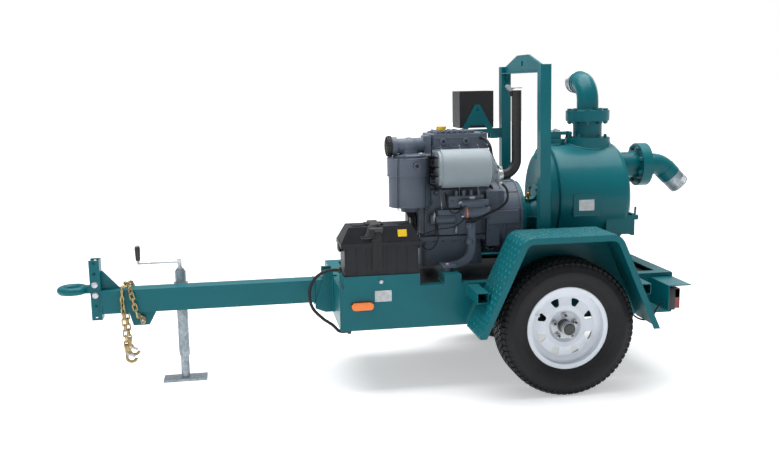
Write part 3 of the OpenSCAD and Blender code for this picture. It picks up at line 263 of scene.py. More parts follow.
cable_jacket = finish("cable_jacket", moulded, {
    "Plastic": (0.009, 0.009, 0.010, 1), "Bloom": (0.035, 0.035, 0.035, 1), "Grain": 500.0, "Depth": 0.1,
    "Gloss": 0.42, "Dusty": 0.3}, specular=0.3)
tyre_rubber = finish("tyre_rubber", moulded, {
    "Plastic": (0.0075, 0.0075, 0.0085, 1), "Bloom": (0.030, 0.028, 0.027, 1), "Grain": 260.0, "Depth": 0.12,
    "Gloss": 0.55, "Dusty": 0.4}, specular=0.28)
amber_lens = finish("amber_lens", moulded, {
    "Plastic": (0.86, 0.19, 0.006, 1), "Bloom": (0.72, 0.14, 0.006, 1), "Grain": 150.0, "Depth": 0.2,
    "Gloss": 0.16, "Dusty": 0.3}, coat_weight=0.5)
red_lens = finish("red_lens", moulded, {
    "Plastic": (0.22, 0.006, 0.012, 1), "Bloom": (0.12, 0.004, 0.006, 1), "Grain": 150.0, "Depth": 0.3,
    "Gloss": 0.14, "Dusty": 0.3}, coat_weight=0.6)
yellow_plastic = finish("yellow_plastic", moulded, {
    "Plastic": (0.78, 0.50, 0.012, 1), "Bloom": (0.62, 0.38, 0.01, 1), "Grain": 300.0, "Depth": 0.1,
    "Gloss": 0.34, "Dusty": 0.3})

# Woven webbing of the battery strap: fine crosswise ribs.
webbing, entry, leave, where = effect("woven_webbing", [("Thread", "NodeSocketColor"),
                                                        ("Gap", "NodeSocketColor")])
ribs = add(webbing, "TexWave", {"Vector": where, "Scale": 110.0, "Distortion": 0.6},
           bands_direction="Z").outputs[1]
cross = add(webbing, "TexWave", {"Vector": where, "Scale": 95.0, "Distortion": 0.6},
            bands_direction="X").outputs[1]
weave = add(webbing, "Math", {0: ribs, 1: cross}, operation="MULTIPLY").outputs[0]
webbing.links.new(blend_colour(webbing, weave, entry["Gap"], entry["Thread"]), leave["Color"])
webbing.links.new(spread(webbing, weave, 0.0, 1.0, 0.9, 0.7), leave["Roughness"])
webbing.links.new(add(webbing, "Bump", {"Strength": 0.5, "Distance": 0.001, "Height": weave}).outputs[0],
                  leave["Normal"])
strap_webbing = finish("strap_webbing", webbing, {
    "Thread": (0.030, 0.030, 0.034, 1), "Gap": (0.008, 0.008, 0.009, 1)}, sheen=0.2)

finishes = {
    "teal_paint": teal_paint, "blue_grey_paint": engine_enamel, "muffler_grey": muffler_paint,
    "black_steel": black_enamel, "white_paint": white_enamel, "galvanised": galvanised,
    "bright_steel": bright_steel, "yellow_zinc": yellow_zinc, "cast_black": cast_black,
    "tyre_rubber": tyre_rubber, "black_plastic": black_plastic, "grip_plastic": grip_plastic,
    "cable_jacket": cable_jacket, "strap_webbing": strap_webbing, "amber_lens": amber_lens,
    "red_lens": red_lens, "yellow_plastic": yellow_plastic, "flap_rubber": tyre_rubber,
    "plate_metal": plate_metal,
}
for node in nodes.values():
    for place in node.material_slots:
        place.material = finishes[place.material.name.split(".")[0]]
for place in nodes["hex_bolts"].material_slots:
    place.material = bolt_metal


# --- Piece tools ------------------------------------------------------------
# Each piece is one bmesh turned into an object that rides on a body of the frame.
def piece(name, shape, material, body_name="chassis", smooth=True):
    """Turns a bmesh into a finished piece."""
    bmesh.ops.recalc_face_normals(shape, faces=shape.faces)
    mesh = bpy.data.meshes.new(name)
    shape.to_mesh(mesh)
    shape.free()
    mesh.materials.append(material)
    made = bpy.data.objects.new(name, mesh)
    bpy.context.scene.collection.objects.link(made)
    if smooth:
        mesh.shade_smooth()
        mesh.set_sharp_from_angle(angle=math.radians(38))
    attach(made, body_name)
    return made


def turn_profile(shape, points, centre, axis, steps=64):
    """Turns a closed or open outline of (radius, along) points about an axis."""
    axis = Vector(axis).normalized()
    side = axis.orthogonal().normalized()
    ring = [shape.verts.new(Vector(centre) + side * r + axis * a) for r, a in points]
    edges = [shape.edges.new((ring[i], ring[i + 1])) for i in range(len(ring) - 1)]
    bmesh.ops.spin(shape, geom=ring + edges, cent=Vector(centre), axis=axis, angle=2 * math.pi, steps=steps,
                   use_merge=True, use_duplicate=False)
    bmesh.ops.remove_doubles(shape, verts=shape.verts, dist=0.00002)


def block(shape, low, high, bevel=0.0, segments=2, matrix=None):
    """Adds a block between two corners, with rounded edges."""
    low, high = Vector(low), Vector(high)
    size = high - low
    place = Matrix.Translation((low + high) / 2) @ Matrix.Diagonal((*size, 1))
    made = bmesh.ops.create_cube(shape, size=1, matrix=(matrix or Matrix.Identity(4)) @ place)
    if bevel:
        edges = list({e for v in made["verts"] for e in v.link_edges})
        bmesh.ops.bevel(shape, geom=edges, offset=bevel, segments=segments, profile=0.5, affect="EDGES",
                        material=-1)


def run_line(name, points, radius, material, body_name="chassis", sides=3):
    """Makes a smooth tube through points, as a curve."""
    curve = bpy.data.curves.new(name, "CURVE")
    curve.dimensions = "3D"
    curve.bevel_depth = radius
    curve.bevel_resolution = sides
    curve.resolution_u = 6
    curve.use_fill_caps = True
    line = curve.splines.new("POLY")
    smooth = round_route(points)
    line.points.add(len(smooth) - 1)
    for spot, point in zip(line.points, smooth):
        spot.co = (*point, 1)
    curve.materials.append(material)
    made = bpy.data.objects.new(name, curve)
    bpy.context.scene.collection.objects.link(made)
    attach(made, body_name)
    return made


def round_route(points, steps=6):
    """Gives a smooth route through points, the way a bent cable runs."""
    points = [Vector(p) for p in points]
    padded = [points[0] * 2 - points[1]] + points + [points[-1] * 2 - points[-2]]
    route = []
    for a, b, c, d in zip(padded, padded[1:], padded[2:], padded[3:]):
        for step in range(steps):
            t = step / steps
            route.append(((b * 2) + (c - a) * t + (a * 2 - b * 5 + c * 4 - d) * t * t
                          + (b * 3 - a - c * 3 + d) * t * t * t) / 2)
    return route + [points[-1]]


def on_wheel(x, y, z):
    """Gives a place from millimetres measured at the wheel centre."""
    return Vector((mid + x / 1000, y / 1000, z / 1000))


def hex_head(shape, spot, axis, across, height, washer=True):
    """Adds a bolt head on its washer."""
    axis = Vector(axis).normalized()
    turn = axis.to_track_quat("Z", "Y").to_matrix().to_4x4()
    if washer:
        bmesh.ops.create_cone(shape, cap_ends=True, segments=20, radius1=across * 0.78, radius2=across * 0.74,
                              depth=height * 0.24,
                              matrix=Matrix.Translation(spot + axis * height * 0.12) @ turn)
    bmesh.ops.create_cone(shape, cap_ends=True, segments=6, radius1=across * 0.577, radius2=across * 0.577,
                          depth=height * 0.64, matrix=Matrix.Translation(spot + axis * height * 0.52) @ turn)
    bmesh.ops.create_cone(shape, cap_ends=True, segments=6, radius1=across * 0.577, radius2=across * 0.46,
                          depth=height * 0.16, matrix=Matrix.Translation(spot + axis * height * 0.92) @ turn)


# --- Front cable ------------------------------------------------------------
# Runs from the battery box, round the front of the frame, to the underside of the cross channel.
cable_route = [(-0.283, -0.330, 0.640), (-0.353, -0.335, 0.640), (-0.413, -0.335, 0.605),
               (-0.443, -0.335, 0.540),
               (-0.433, -0.335, 0.460), (-0.383, -0.335, 0.400), (-0.333, -0.335, 0.362),
               (-0.298, -0.340, 0.328), (-0.253, -0.350, 0.328)]
front_cable = run_line("front_cable", cable_route, 0.008, cable_jacket, sides=5)
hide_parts("cable_front")

# --- Tyres ------------------------------------------------------------------
# A carcass with ribbed side walls, and five rows of cut tread blocks around it.
def tread_block(shape, centre, radius, angle, along, length, width, height, slant, tip=0.0):
    """Adds one raised block on the crown of a tyre, tipped down towards the side wall."""
    out = Vector((math.cos(angle), 0, math.sin(angle)))
    forward = Vector((-math.sin(angle), 0, math.cos(angle)))
    side = Vector((0, 1, 0))
    tipped_out = out * math.cos(tip) + side * math.sin(tip)
    tipped_side = side * math.cos(tip) - out * math.sin(tip)
    base = centre + out * radius + side * along
    corners = []
    for lift, shrink in ((-0.004, 1.0), (height, 0.86)):
        for u, v in ((-1, -1), (1, -1), (1, 1), (-1, 1)):
            spot = forward * (u * length / 2 * shrink + v * slant) + tipped_side * (v * width / 2 * shrink)
            corners.append(shape.verts.new(base + spot + tipped_out * lift))
    for ring in ((4, 5, 6, 7), (0, 1, 5, 4), (1, 2, 6, 5), (2, 3, 7, 6), (3, 0, 4, 7)):
        shape.faces.new([corners[i] for i in ring])


for side_name in ("near", "far"):
    low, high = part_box("tyre_" + side_name)
    hub = (low + high) / 2
    r = (high.z - low.z) / 2
    half = (high.y - low.y) / 2
    tyre = bmesh.new()
    wall = [(0.1905, 0.057), (0.2045, 0.0655), (0.209, 0.070), (0.2115, 0.0755), (0.214, 0.0765),
            (0.217, 0.0785),
            (0.236, 0.0905), (0.238, 0.0925), (0.241, 0.0925), (0.243, 0.0935), (0.262, half - 0.0015),
            (0.282, half - 0.0002), (0.290, half - 0.0006), (0.292, half - 0.0022), (0.304, half - 0.0045),
            (0.312, half - 0.009), (r - 0.018, half - 0.019), (r - 0.011, half - 0.028),
            (r - 0.009, half - 0.043)]
    outline = wall + [(r - 0.009, 0.0)] + [(a, -b) for a, b in reversed(wall)]
    inner = [(0.1905, -0.042), (0.226, -0.072), (0.283, -0.084), (r - 0.024, -0.07), (r - 0.018, -0.045),
             (r - 0.018, 0.045), (r - 0.024, 0.07), (0.283, 0.084), (0.226, 0.072), (0.1905, 0.042)]
    turn_profile(tyre, outline + inner + [outline[0]], hub, (0, 1, 0), steps=96)
    for step in range(68):
        angle = step / 68 * 2 * math.pi
        half_step = angle + math.pi / 68
        tread_block(tyre, hub, r - 0.009, angle, 0.0, 0.026, 0.021, 0.0085, 0.004)
        for turn in (-1, 1):
            tread_block(tyre, hub, r - 0.009, half_step, turn * 0.0275, 0.025, 0.022, 0.0085, 0.004 * turn)
            tread_block(tyre, hub, r - 0.0093, angle, turn * 0.0535, 0.025, 0.020, 0.0085, -0.004 * turn)
            tread_block(tyre, hub, r - 0.0148, half_step, turn * 0.0785, 0.024, 0.024, 0.007, 0.0,
                        turn * 0.62)
            tread_block(tyre, hub, r - 0.029, half_step, turn * 0.0885, 0.017, 0.016, 0.0045, 0.0,
                        turn * 1.12)
    rubber = piece("tyre_tread_" + side_name, tyre, tyre_rubber, "wheel_" + side_name)
    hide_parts("tyre_" + side_name)

# --- Wheel trim -------------------------------------------------------------
# Cap rings on each hub, and plated nuts on the five studs.
for side_name, outward in (("near", -1), ("far", 1)):
    low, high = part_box("hub_" + side_name)
    rim_low, rim_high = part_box("rim_" + side_name)
    centre = (rim_low + rim_high) / 2
    face = low.y if outward < 0 else high.y
    trim = bmesh.new()
    for gap, r in ((0.041, 0.0335), (0.030, 0.0325), (0.012, 0.0318)):
        turn_profile(trim, [(0.029, gap + 0.004), (r, gap + 0.003), (r + 0.0012, gap), (r, gap - 0.003),
                            (0.029, gap - 0.004)], (centre.x, face, centre.z), (0, -outward, 0), steps=48)
    turn_profile(trim, [(0.0, 0.0006), (0.011, 0.0008), (0.0125, 0.003), (0.0125, 0.008)],
                 (centre.x, face, centre.z), (0, -outward, 0), steps=32)
    piece("hub_cap_rings_" + side_name, trim, bright_steel, "wheel_" + side_name)
    nuts = bmesh.new()
    for turn in range(5):
        a = turn * 2 * math.pi / 5 + math.pi / 2
        spot = Vector((centre.x + math.cos(a) * 0.05715, outward * 0.5505, centre.z + math.sin(a) * 0.05715))
        hex_head(nuts, spot, (0, outward, 0), 0.0235, 0.0222)
    piece("wheel_nuts_" + side_name, nuts, bright_steel, "wheel_" + side_name)


# --- Fender tread plate -----------------------------------------------------
# Raised lugs at alternating slants over the outside of both fenders.
def lug(shape, centre, along, across, normal, length=0.023, width=0.0065, height=0.0014):
    """Adds one lens-shaped lug."""
    base = [(0.5, 0), (0.25, 0.5), (-0.25, 0.5), (-0.5, 0), (-0.25, -0.5), (0.25, -0.5)]
    ring = [shape.verts.new(centre + along * (u * length) + across * (v * width) - normal * 0.0003) for u,
            v in base]
    crest = [shape.verts.new(centre + along * (u * length * 0.55) + normal * height) for u in (0.5, -0.5)]
    for corners in ((0, 1, crest[0]), (1, 2, crest[1], crest[0]), (2, 3, crest[1]), (3, 4, crest[1]),
                    (4, 5, crest[0], crest[1]), (5, 0, crest[0])):
        shape.faces.new([ring[c] if isinstance(c, int) else c for c in corners])


low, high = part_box("fenders")
fender_route = []
mid = 0.807
left_slope = Vector((0.354, 0, 0.758)).normalized()
right_slope = Vector((0.327, 0, -0.758)).normalized()
left_foot = Vector((mid - 0.4692, 0, 0.340))
right_foot = Vector((mid + 0.4412, 0, 0.340))
left_turn = math.atan2(left_slope.z, left_slope.x)
right_turn = -math.atan2(right_slope.z, right_slope.x)
corner_r = 0.070
left_cut = corner_r * math.tan(left_turn / 2)
right_cut = corner_r * math.tan(right_turn / 2)
left_top = Vector((mid - 0.246, 0, high.z))
right_top = Vector((mid + 0.235, 0, high.z))
spans = [(left_foot, left_top - left_slope * left_cut), (left_top + Vector((left_cut, 0, 0)),
                                                          right_top - Vector((right_cut, 0, 0))),
         (right_top + right_slope * right_cut, right_foot)]
left_arc = spans[1][0] - Vector((0, 0, corner_r))
right_arc = spans[1][1] - Vector((0, 0, corner_r))
parts = [("line", spans[0]), ("arc", (left_arc, math.pi / 2 + left_turn, math.pi / 2)), ("line", spans[1]),
         ("arc", (right_arc, math.pi / 2, math.pi / 2 - right_turn)), ("line", spans[2])]
for kind, data in parts:
    if kind == "line":
        start, stop = data
        count = int((stop - start).length / 0.004)
        heading_here = (stop - start).normalized()
        for step in range(count):
            fender_route.append((start + heading_here * step * 0.004, heading_here))
    else:
        hub, first, last = data
        count = int(abs(last - first) * corner_r / 0.004)
        for step in range(count):
            a = first + (last - first) * step / count
            fender_route.append((hub + Vector((math.cos(a), 0, math.sin(a))) * corner_r,
                                 Vector((math.sin(a), 0, -math.cos(a)))))
tread = bmesh.new()
sideways = Vector((0, 1, 0))
for row, (spot, forward) in enumerate(fender_route[3::7]):
    outward = Vector((-forward.z, 0, forward.x))
    for column in range(10):
        y = 0.440 + column * 0.027
        slanted = 1 if (row + column) % 2 else -1
        along = (forward + sideways * slanted).normalized()
        across = outward.cross(along)
        for side in (-1, 1):
            lug(tread, Vector((spot.x, side * y, spot.z)), along, across, outward, length=0.025,
                width=0.009, height=0.0024)
piece("fender_tread_lugs", tread, teal_paint, smooth=False)
lip = bmesh.new()
for row, (spot, forward) in enumerate(fender_route[3::6]):
    outward = Vector((-forward.z, 0, forward.x))
    for side in (-1, 1):
        across = outward if row % 2 else -outward
        along = (forward + across * 0.9).normalized()
        face = Vector((spot.x, low.y if side < 0 else high.y, spot.z)) - outward * 0.016
        normal = Vector((0, side, 0))
        lug(lip, face - normal * 0.0002, along, normal.cross(along), normal, length=0.021, height=0.0002)
piece("fender_lip_lugs", lip, teal_paint, smooth=False)

# --- Engine trim ------------------------------------------------------------
# Cover bosses and bolts, the screened air inlet, filter clips, heat fins and the outlet clamp.
cover = bmesh.new()
# The flat black discs in the boss openings are painted shade: they stand for the dark depth of the sockets.
socket_shade_discs = bmesh.new()
for x in (-513, -391):
    spot = on_wheel(x, -128, 1252)
    turn_profile(cover, [(0.008, 0.0005), (0.0085, 0.0025), (0.013, 0.003), (0.0175, 0.0015), (0.019, -0.002),
                         (0.019, -0.010)], spot, (0, -1, 0), steps=40)
    turn_profile(socket_shade_discs, [(0.0, 0.0006), (0.0088, 0.0006)], spot, (0, -1, 0), steps=24)
for side in (-1, 1):
    block(cover, on_wheel(-584, side * 122 - 3, 1212), on_wheel(-266, side * 122 + 3, 1226), 0.002)
    block(cover, on_wheel(-560, side * 119 - 2, 1266), on_wheel(-292, side * 119 + 2, 1272), 0.0015)
    for x in (-566, -470, -374, -284):
        hex_head(cover, on_wheel(x, side * 124, 1226), (0, 0, 1), 0.011, 0.009)
block(cover, on_wheel(-586, -122, 1212), on_wheel(-580, 122, 1226), 0.002)
block(cover, on_wheel(-270, -122, 1212), on_wheel(-264, 122, 1226), 0.002)
for x in (-545, -460, -375, -300):
    for side in (-1, 1):
        hex_head(cover, on_wheel(x, side * 97, 1290), (0, 0, 1), 0.013, 0.008)
for y in range(-60, 61, 15):
    block(cover, on_wheel(-378, y - 2.5, 1300), on_wheel(-338, y + 2.5, 1305), 0.0012)
piece("valve_cover_trim", cover, engine_enamel)
piece("valve_cover_painted_socket_shade", socket_shade_discs, black_enamel)

# Wire screen over the air inlet, over a black dome of painted shade for the dark inside of the inlet.
screen = bmesh.new()
rings = [(0.040, 0.000), (0.052, 0.004), (0.054, 0.016), (0.050, 0.026), (0.036, 0.031), (0.016, 0.033)]
mouth = on_wheel(-791, -150, 1238)
for row, (r, out) in enumerate(rings):
    for step in range(24):
        a = step / 24 * 2 * math.pi
        b = (step + 1) / 24 * 2 * math.pi
        here = mouth + Vector((-out, math.cos(a) * r, math.sin(a) * r))
        near = mouth + Vector((-out, math.cos(b) * r, math.sin(b) * r))
        links = [(here, near)]
        if row + 1 < len(rings):
            r2, out2 = rings[row + 1]
            links.append((here, mouth + Vector((-out2, math.cos(a) * r2, math.sin(a) * r2))))
        for start, stop in links:
            stretch = stop - start
            turn = stretch.to_track_quat("Z", "Y").to_matrix().to_4x4()
            bmesh.ops.create_cone(screen, cap_ends=False, segments=5, radius1=0.0014, radius2=0.0014,
                                  depth=stretch.length * 1.06,
                                  matrix=Matrix.Translation((start + stop) / 2) @ turn)
# The solid black dome under the wires is painted shade, standing for the dark inside of the inlet behind the
# screen.
turn_profile(screen, [(0.0, 0.030), (0.036, 0.029), (0.048, 0.024), (0.051, 0.014), (0.049, 0.004),
                      (0.038, 0.001)],
             mouth, (-1, 0, 0), steps=32)
piece("inlet_screen_and_shade_dome", screen, black_enamel)

# Filter housing: rolled seams, four wire clips, a drain valve and the service indicator.
low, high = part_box("air_filter")
axis_spot = on_wheel(-700, -150, 0)
r = 0.109
shell = bmesh.new()
for z, out in ((1.0875, 0.0068), (1.176, 0.0058), (0.928, 0.001), (1.168, 0.0045)):
    turn_profile(shell, [(r - 0.001, z - 0.004), (r + out, z - 0.0032), (r + out + 0.0014, z),
                         (r + out, z + 0.0032), (r - 0.001, z + 0.004)], axis_spot, (0, 0, 1), steps=64)
turn_profile(shell, [(0.084, 1.190), (0.070, 1.1945), (0.055, 1.1955), (0.044, 1.200)], axis_spot,
             (0, 0, 1), steps=48)
for spin in range(24):
    a = spin / 24 * 2 * math.pi
    turned = Matrix.Translation(axis_spot) @ Matrix.Rotation(a, 4, "Z")
    block(shell, (r - 0.004, -0.0012, 0.935), (r - 0.0008, 0.0012, 1.080), 0.0005, 1, turned)
for x, y in ((-655, -258), (-745, -258), (-600, -120), (-800, -120)):
    spot = Vector((mid + x / 1000, y / 1000, 0))
    block(shell, spot + Vector((-0.008, -0.007, 1.192)), spot + Vector((0.008, 0.007, 1.200)), 0.002)
piece("filter_seams", shell, engine_enamel)
for number, degrees in enumerate((-128, -52, 52, 128)):
    a = math.radians(degrees)
    out = Vector((math.cos(a), math.sin(a), 0))
    side = Vector((-math.sin(a), math.cos(a), 0))
    path = [axis_spot + out * (r + reach) + side * shift + Vector((0, 0, z)) for reach, shift, z in (
        (-0.012, -0.010, 0.914), (0.004, -0.010, 0.920), (0.006, -0.009, 0.940), (0.0085, -0.006, 1.080),
        (0.013, -0.003, 1.100), (0.0125, 0.0, 1.170), (0.009, 0.003, 1.184), (-0.010, 0.004, 1.186))]
    run_line(f"filter_clip_{number}", path, 0.0019, black_enamel)
knob = bmesh.new()
spot = on_wheel(-682, -269, 1142)
turn_profile(knob, [(0.0, 0.010), (0.008, 0.0095), (0.014, 0.006), (0.0185, 0.0), (0.019, -0.006),
                    (0.0175, -0.012), (0.012, -0.016), (0.010, -0.022)], spot, (0, -1, 0), steps=40)
turn_profile(knob, [(0.048, 0.0), (0.030, 0.004), (0.022, 0.010), (0.016, 0.024), (0.011, 0.032),
                    (0.0, 0.032)],
             on_wheel(-700, -150, 898), (0, 0, -1), steps=32)
piece("filter_knob", knob, black_plastic)

# Heat fins left of the muffler, rolled muffler seams, and the outlet clamp.
fins = bmesh.new()
for z, drop, tilt_back in ((1196, 30, 16), (1150, 34, 22), (1104, 34, 22), (1058, 34, 20)):
    rows = []
    for step in range(7):
        t = step / 6
        x = -616 + 56 * t
        rows.append([on_wheel(x, y, z - drop * t * t - lean_in)
                     for y, lean_in in ((-322, 0), (-250, tilt_back * 0.3), (-190, tilt_back))])
    grid = [[fins.verts.new(p) for p in row] for row in rows]
    for near, far in zip(grid, grid[1:]):
        for i in range(2):
            fins.faces.new((near[i], near[i + 1], far[i + 1], far[i]))
made = piece("heat_fins", fins, black_enamel)
shell = made.modifiers.new("thickness", "SOLIDIFY")
shell.thickness = 0.002
silencer = bmesh.new()
spot = on_wheel(-566, -280, 1125)
turn_profile(silencer, [(0.089, 0.0), (0.0972, 0.0006), (0.0984, 0.003), (0.0972, 0.0055), (0.0965, 0.006)],
             spot, (1, 0, 0), steps=64)
spot = on_wheel(-318, -280, 1125)
turn_profile(silencer, [(0.0966, -0.006), (0.0978, -0.005), (0.0984, -0.0025), (0.0972, 0.0),
                        (0.094, 0.0012)], spot,
             (1, 0, 0), steps=64)
turn_profile(silencer, [(0.066, 0.018), (0.052, 0.026), (0.034, 0.032), (0.027, 0.045)], spot,
             (1, 0, 0), steps=48)
piece("muffler_seams", silencer, muffler_paint)
clamp = bmesh.new()
spot = on_wheel(-252, -280, 1083.5)
turn_profile(clamp, [(0.0265, -0.010), (0.0345, -0.010), (0.0355, -0.007), (0.0355, 0.007), (0.0345, 0.010),
                     (0.0265, 0.010)], spot, (1, 0, 0), steps=40)
for z in (1121, 1046):
    block(clamp, on_wheel(-261, -292, z - 9), on_wheel(-243, -268, z + 9), 0.002)
    hex_head(clamp, on_wheel(-252, -292, z), (0, -1, 0), 0.013, 0.009)
    hex_head(clamp, on_wheel(-252, -268, z), (0, 1, 0), 0.013, 0.009)
piece("outlet_clamp", clamp, bright_steel)

# Block, oil pan and bell housing: flange bolts, cast ribs and plugs.
castings = bmesh.new()
for x in range(-635, -310, 54):
    for side in (-1, 1):
        hex_head(castings, on_wheel(x, side * 168, 738), (0, 0, -1), 0.013, 0.009)
for side in (-1, 1):
    block(castings, on_wheel(-655, side * 164 - 13, 750), on_wheel(-304, side * 164 + 13, 762), 0.004)
    for x in (-620, -560, -500):
        block(castings, on_wheel(x - 5, side * 158 - 9, 764), on_wheel(x + 5, side * 158 + 9, 905), 0.003)
for x, z, r in ((-598, 944, 0.020), (-560, 985, 0.014), (-612, 905, 0.012), (-470, 905, 0.013)):
    turn_profile(castings, [(0.0, 0.004), (r * 0.45, 0.004), (r * 0.55, 0.010), (r * 0.8, 0.011), (r, 0.007),
                            (r * 1.05, -0.012)], on_wheel(x, -152, z), (0, -1, 0), steps=32)
bell = on_wheel(-200, 0, 830)
for along, r in ((-0.094, 0.1965), (0.0, 0.1962), (0.092, 0.1965)):
    turn_profile(castings, [(0.190, along - 0.006), (r + 0.003, along - 0.005), (r + 0.0045, along),
                            (r + 0.003, along + 0.005), (0.190, along + 0.006)], bell, (1, 0, 0), steps=72)
for step in range(12):
    a = step / 12 * 2 * math.pi + 0.2
    spot = bell + Vector((0.0985, math.cos(a) * 0.183, math.sin(a) * 0.183))
    hex_head(castings, spot, (1, 0, 0), 0.014, 0.009)
    turned = Matrix.Translation(bell) @ Matrix.Rotation(a, 4, "X")
    block(castings, (-0.088, -0.004, 0.190), (0.086, 0.004, 0.1985), 0.002, 1, turned)
block(castings, on_wheel(-283, -176, 905), on_wheel(-196, -120, 992), 0.010)
block(castings, on_wheel(-268, -188, 792), on_wheel(-158, -120, 878), 0.008)
block(castings, on_wheel(-274, -193, 800), on_wheel(-152, -120, 812), 0.003)
block(castings, on_wheel(-274, -193, 866), on_wheel(-152, -120, 880), 0.003)
for x in (-486, -440, -394, -348):
    hex_head(castings, on_wheel(x, -206, 943), (0, -1, 0), 0.012, 0.008)
for x, z in ((-411, 823), (-412, 742)):
    hex_head(castings, on_wheel(x, -268, z), (0, -1, 0), 0.024, 0.013)
hex_head(castings, on_wheel(-420, -160, 622), (0, -1, 0), 0.022, 0.012)
piece("block_castings", castings, engine_enamel)
label = bmesh.new()
block(label, on_wheel(-395, -206.5, 950), on_wheel(-366, -205, 968), 0.0004, 1)
piece("engine_plate", label, plate_metal)

# Starter: end caps, a solenoid with its terminals, and the orange insulating ring.
starter = bmesh.new()
spot = on_wheel(-426, -230, 887)
turn_profile(starter, [(0.0, -0.016), (0.010, -0.016), (0.012, -0.012), (0.024, -0.010), (0.030, -0.004),
                       (0.032, 0.0), (0.0325, 0.006), (0.0312, 0.008)], spot, (1, 0, 0), steps=48)
for along in (0.030, 0.086):
    turn_profile(starter, [(0.030, along - 0.003), (0.0325, along - 0.002), (0.0325, along + 0.002),
                           (0.030, along + 0.003)], spot, (1, 0, 0), steps=48)
spot = on_wheel(-440, -225, 938)
turn_profile(starter, [(0.0, -0.010), (0.012, -0.010), (0.0155, -0.006), (0.0188, 0.0), (0.0188, 0.008),
                       (0.0178, 0.010)], spot, (1, 0, 0), steps=40)
piece("starter_ends", starter, engine_enamel)
ring = bmesh.new()
turn_profile(ring, [(0.0318, 0.001), (0.0338, 0.001), (0.0338, 0.008), (0.0318, 0.008), (0.0318, 0.001)],
             on_wheel(-424, -230, 887), (1, 0, 0), steps=48)
piece("starter_ring", ring, amber_lens)
ends = bmesh.new()
for x, y, z in ((-444, -234, 944), (-444, -216, 936), (-436, -246, 872)):
    hex_head(ends, on_wheel(x, y, z), (-1, 0, 0), 0.010, 0.012)
for x, y, z in ((-583, -208, 873), (-466, -208, 802)):
    turn_profile(ends, [(0.0, 0.022), (0.0035, 0.022), (0.0035, 0.012), (0.007, 0.010), (0.007, 0.0),
                        (0.009, -0.002), (0.009, -0.02)], on_wheel(x, y, z), (0, -0.4, 1), steps=16)
piece("terminals", ends, bright_steel)

# Engine wiring and hoses: each one leaves a fitting and ends in another.
lines = {
    "starter_cable": (0.006, [(-240, -256, 1040), (-214, -262, 1010), (-206, -262, 975), (-213, -262, 942),
                               (-248, -262, 912), (-300, -262, 889), (-345, -264, 866), (-388, -264, 850),
                               (-424, -256, 858), (-436, -246, 872)]),
    "sensor_cable": (0.0028, [(-432, -240, 866), (-440, -232, 846), (-466, -225, 824), (-505, -225, 812),
                              (-575, -225, 806), (-628, -225, 790), (-655, -214, 782), (-668, -180, 790)]),
    "level_cable": (0.0032, [(-660, -168, 778), (-664, -196, 752), (-650, -212, 722), (-618, -216, 700),
                             (-588, -216, 716), (-566, -214, 760), (-570, -212, 815), (-582, -212, 868)]),
    "fuel_line_long": (0.0035, [(-516, -168, 986), (-520, -200, 978), (-522, -222, 950), (-514, -236, 915),
                                (-496, -244, 893), (-474, -247, 890), (-456, -243, 903), (-448, -236, 924),
                                (-446, -234, 938)]),
    "breather_hose": (0.0080, [(-318, -105, 1268), (-296, -150, 1262), (-281, -190, 1228), (-272, -204, 1170),
                               (-250, -222, 1118), (-244, -236, 1096)]),
}
for name, (radius, points) in lines.items():
    route = [on_wheel(*p) for p in points]
    made = run_line(name, route, radius, cable_jacket)
for number, x in enumerate((-538, -438, -338)):
    path = [on_wheel(*p) for p in ((x, -192, 905), (x - 6, -206, 935), (x - 4, -178, 985),
                                   (x + 6, -150, 1060),
                                   (x + 12, -148, 1150), (x + 14, -126, 1210), (x + 10, -112, 1238))]
    run_line(f"injector_pipe_{number}", path, 0.0032, bright_steel)


# --- Weld beads -------------------------------------------------------------
# Rippled fillets where plates, tubes and flanges of the frame and the pump meet.
def bead(shape, points, radius=0.004, closed=False):
    """Adds a rippled weld bead along a route of points."""
    route = []
    points = [Vector(p) for p in points]
    if closed:
        points.append(points[0])
    for start, stop in zip(points, points[1:]):
        count = max(1, round((stop - start).length / 0.0035))
        route += [start.lerp(stop, step / count) for step in range(count)]
    if not closed:
        route.append(points[-1])
    rings = []
    for number, spot in enumerate(route):
        before = route[number - 1] if closed or number else route[0]
        after = route[(number + 1) % len(route)] if closed or number + 1 < len(route) else route[-1]
        forward = (after - before).normalized()
        level = forward.cross(Vector((0, 0, 1)))
        side = (forward.orthogonal() if abs(forward.z) > 0.9 else level).normalized()
        top = side.cross(forward)
        swell = radius * (1 + 0.16 * math.sin(number * 1.9) + 0.08 * math.sin(number * 0.83))
        rings.append([shape.verts.new(spot + side * math.cos(a) * swell + top * math.sin(a) * swell)
                      for a in (step / 5 * 2 * math.pi for step in range(5))])
    pairs = list(zip(rings, rings[1:])) + ([(rings[-1], rings[0])] if closed else [])
    for near, far in pairs:
        for i in range(5):
            shape.faces.new((near[i], near[(i + 1) % 5], far[(i + 1) % 5], far[i]))
    if not closed:
        shape.faces.new(rings[0])
        shape.faces.new(rings[-1])


def ring_points(centre, radius, axis, count=72):
    """Gives points on a circle."""
    side = Vector(axis).orthogonal().normalized()
    other = Vector(axis).normalized().cross(side)
    return [Vector(centre) + side * radius * math.cos(a) + other * radius * math.sin(a)
            for a in (step / count * 2 * math.pi for step in range(count))]


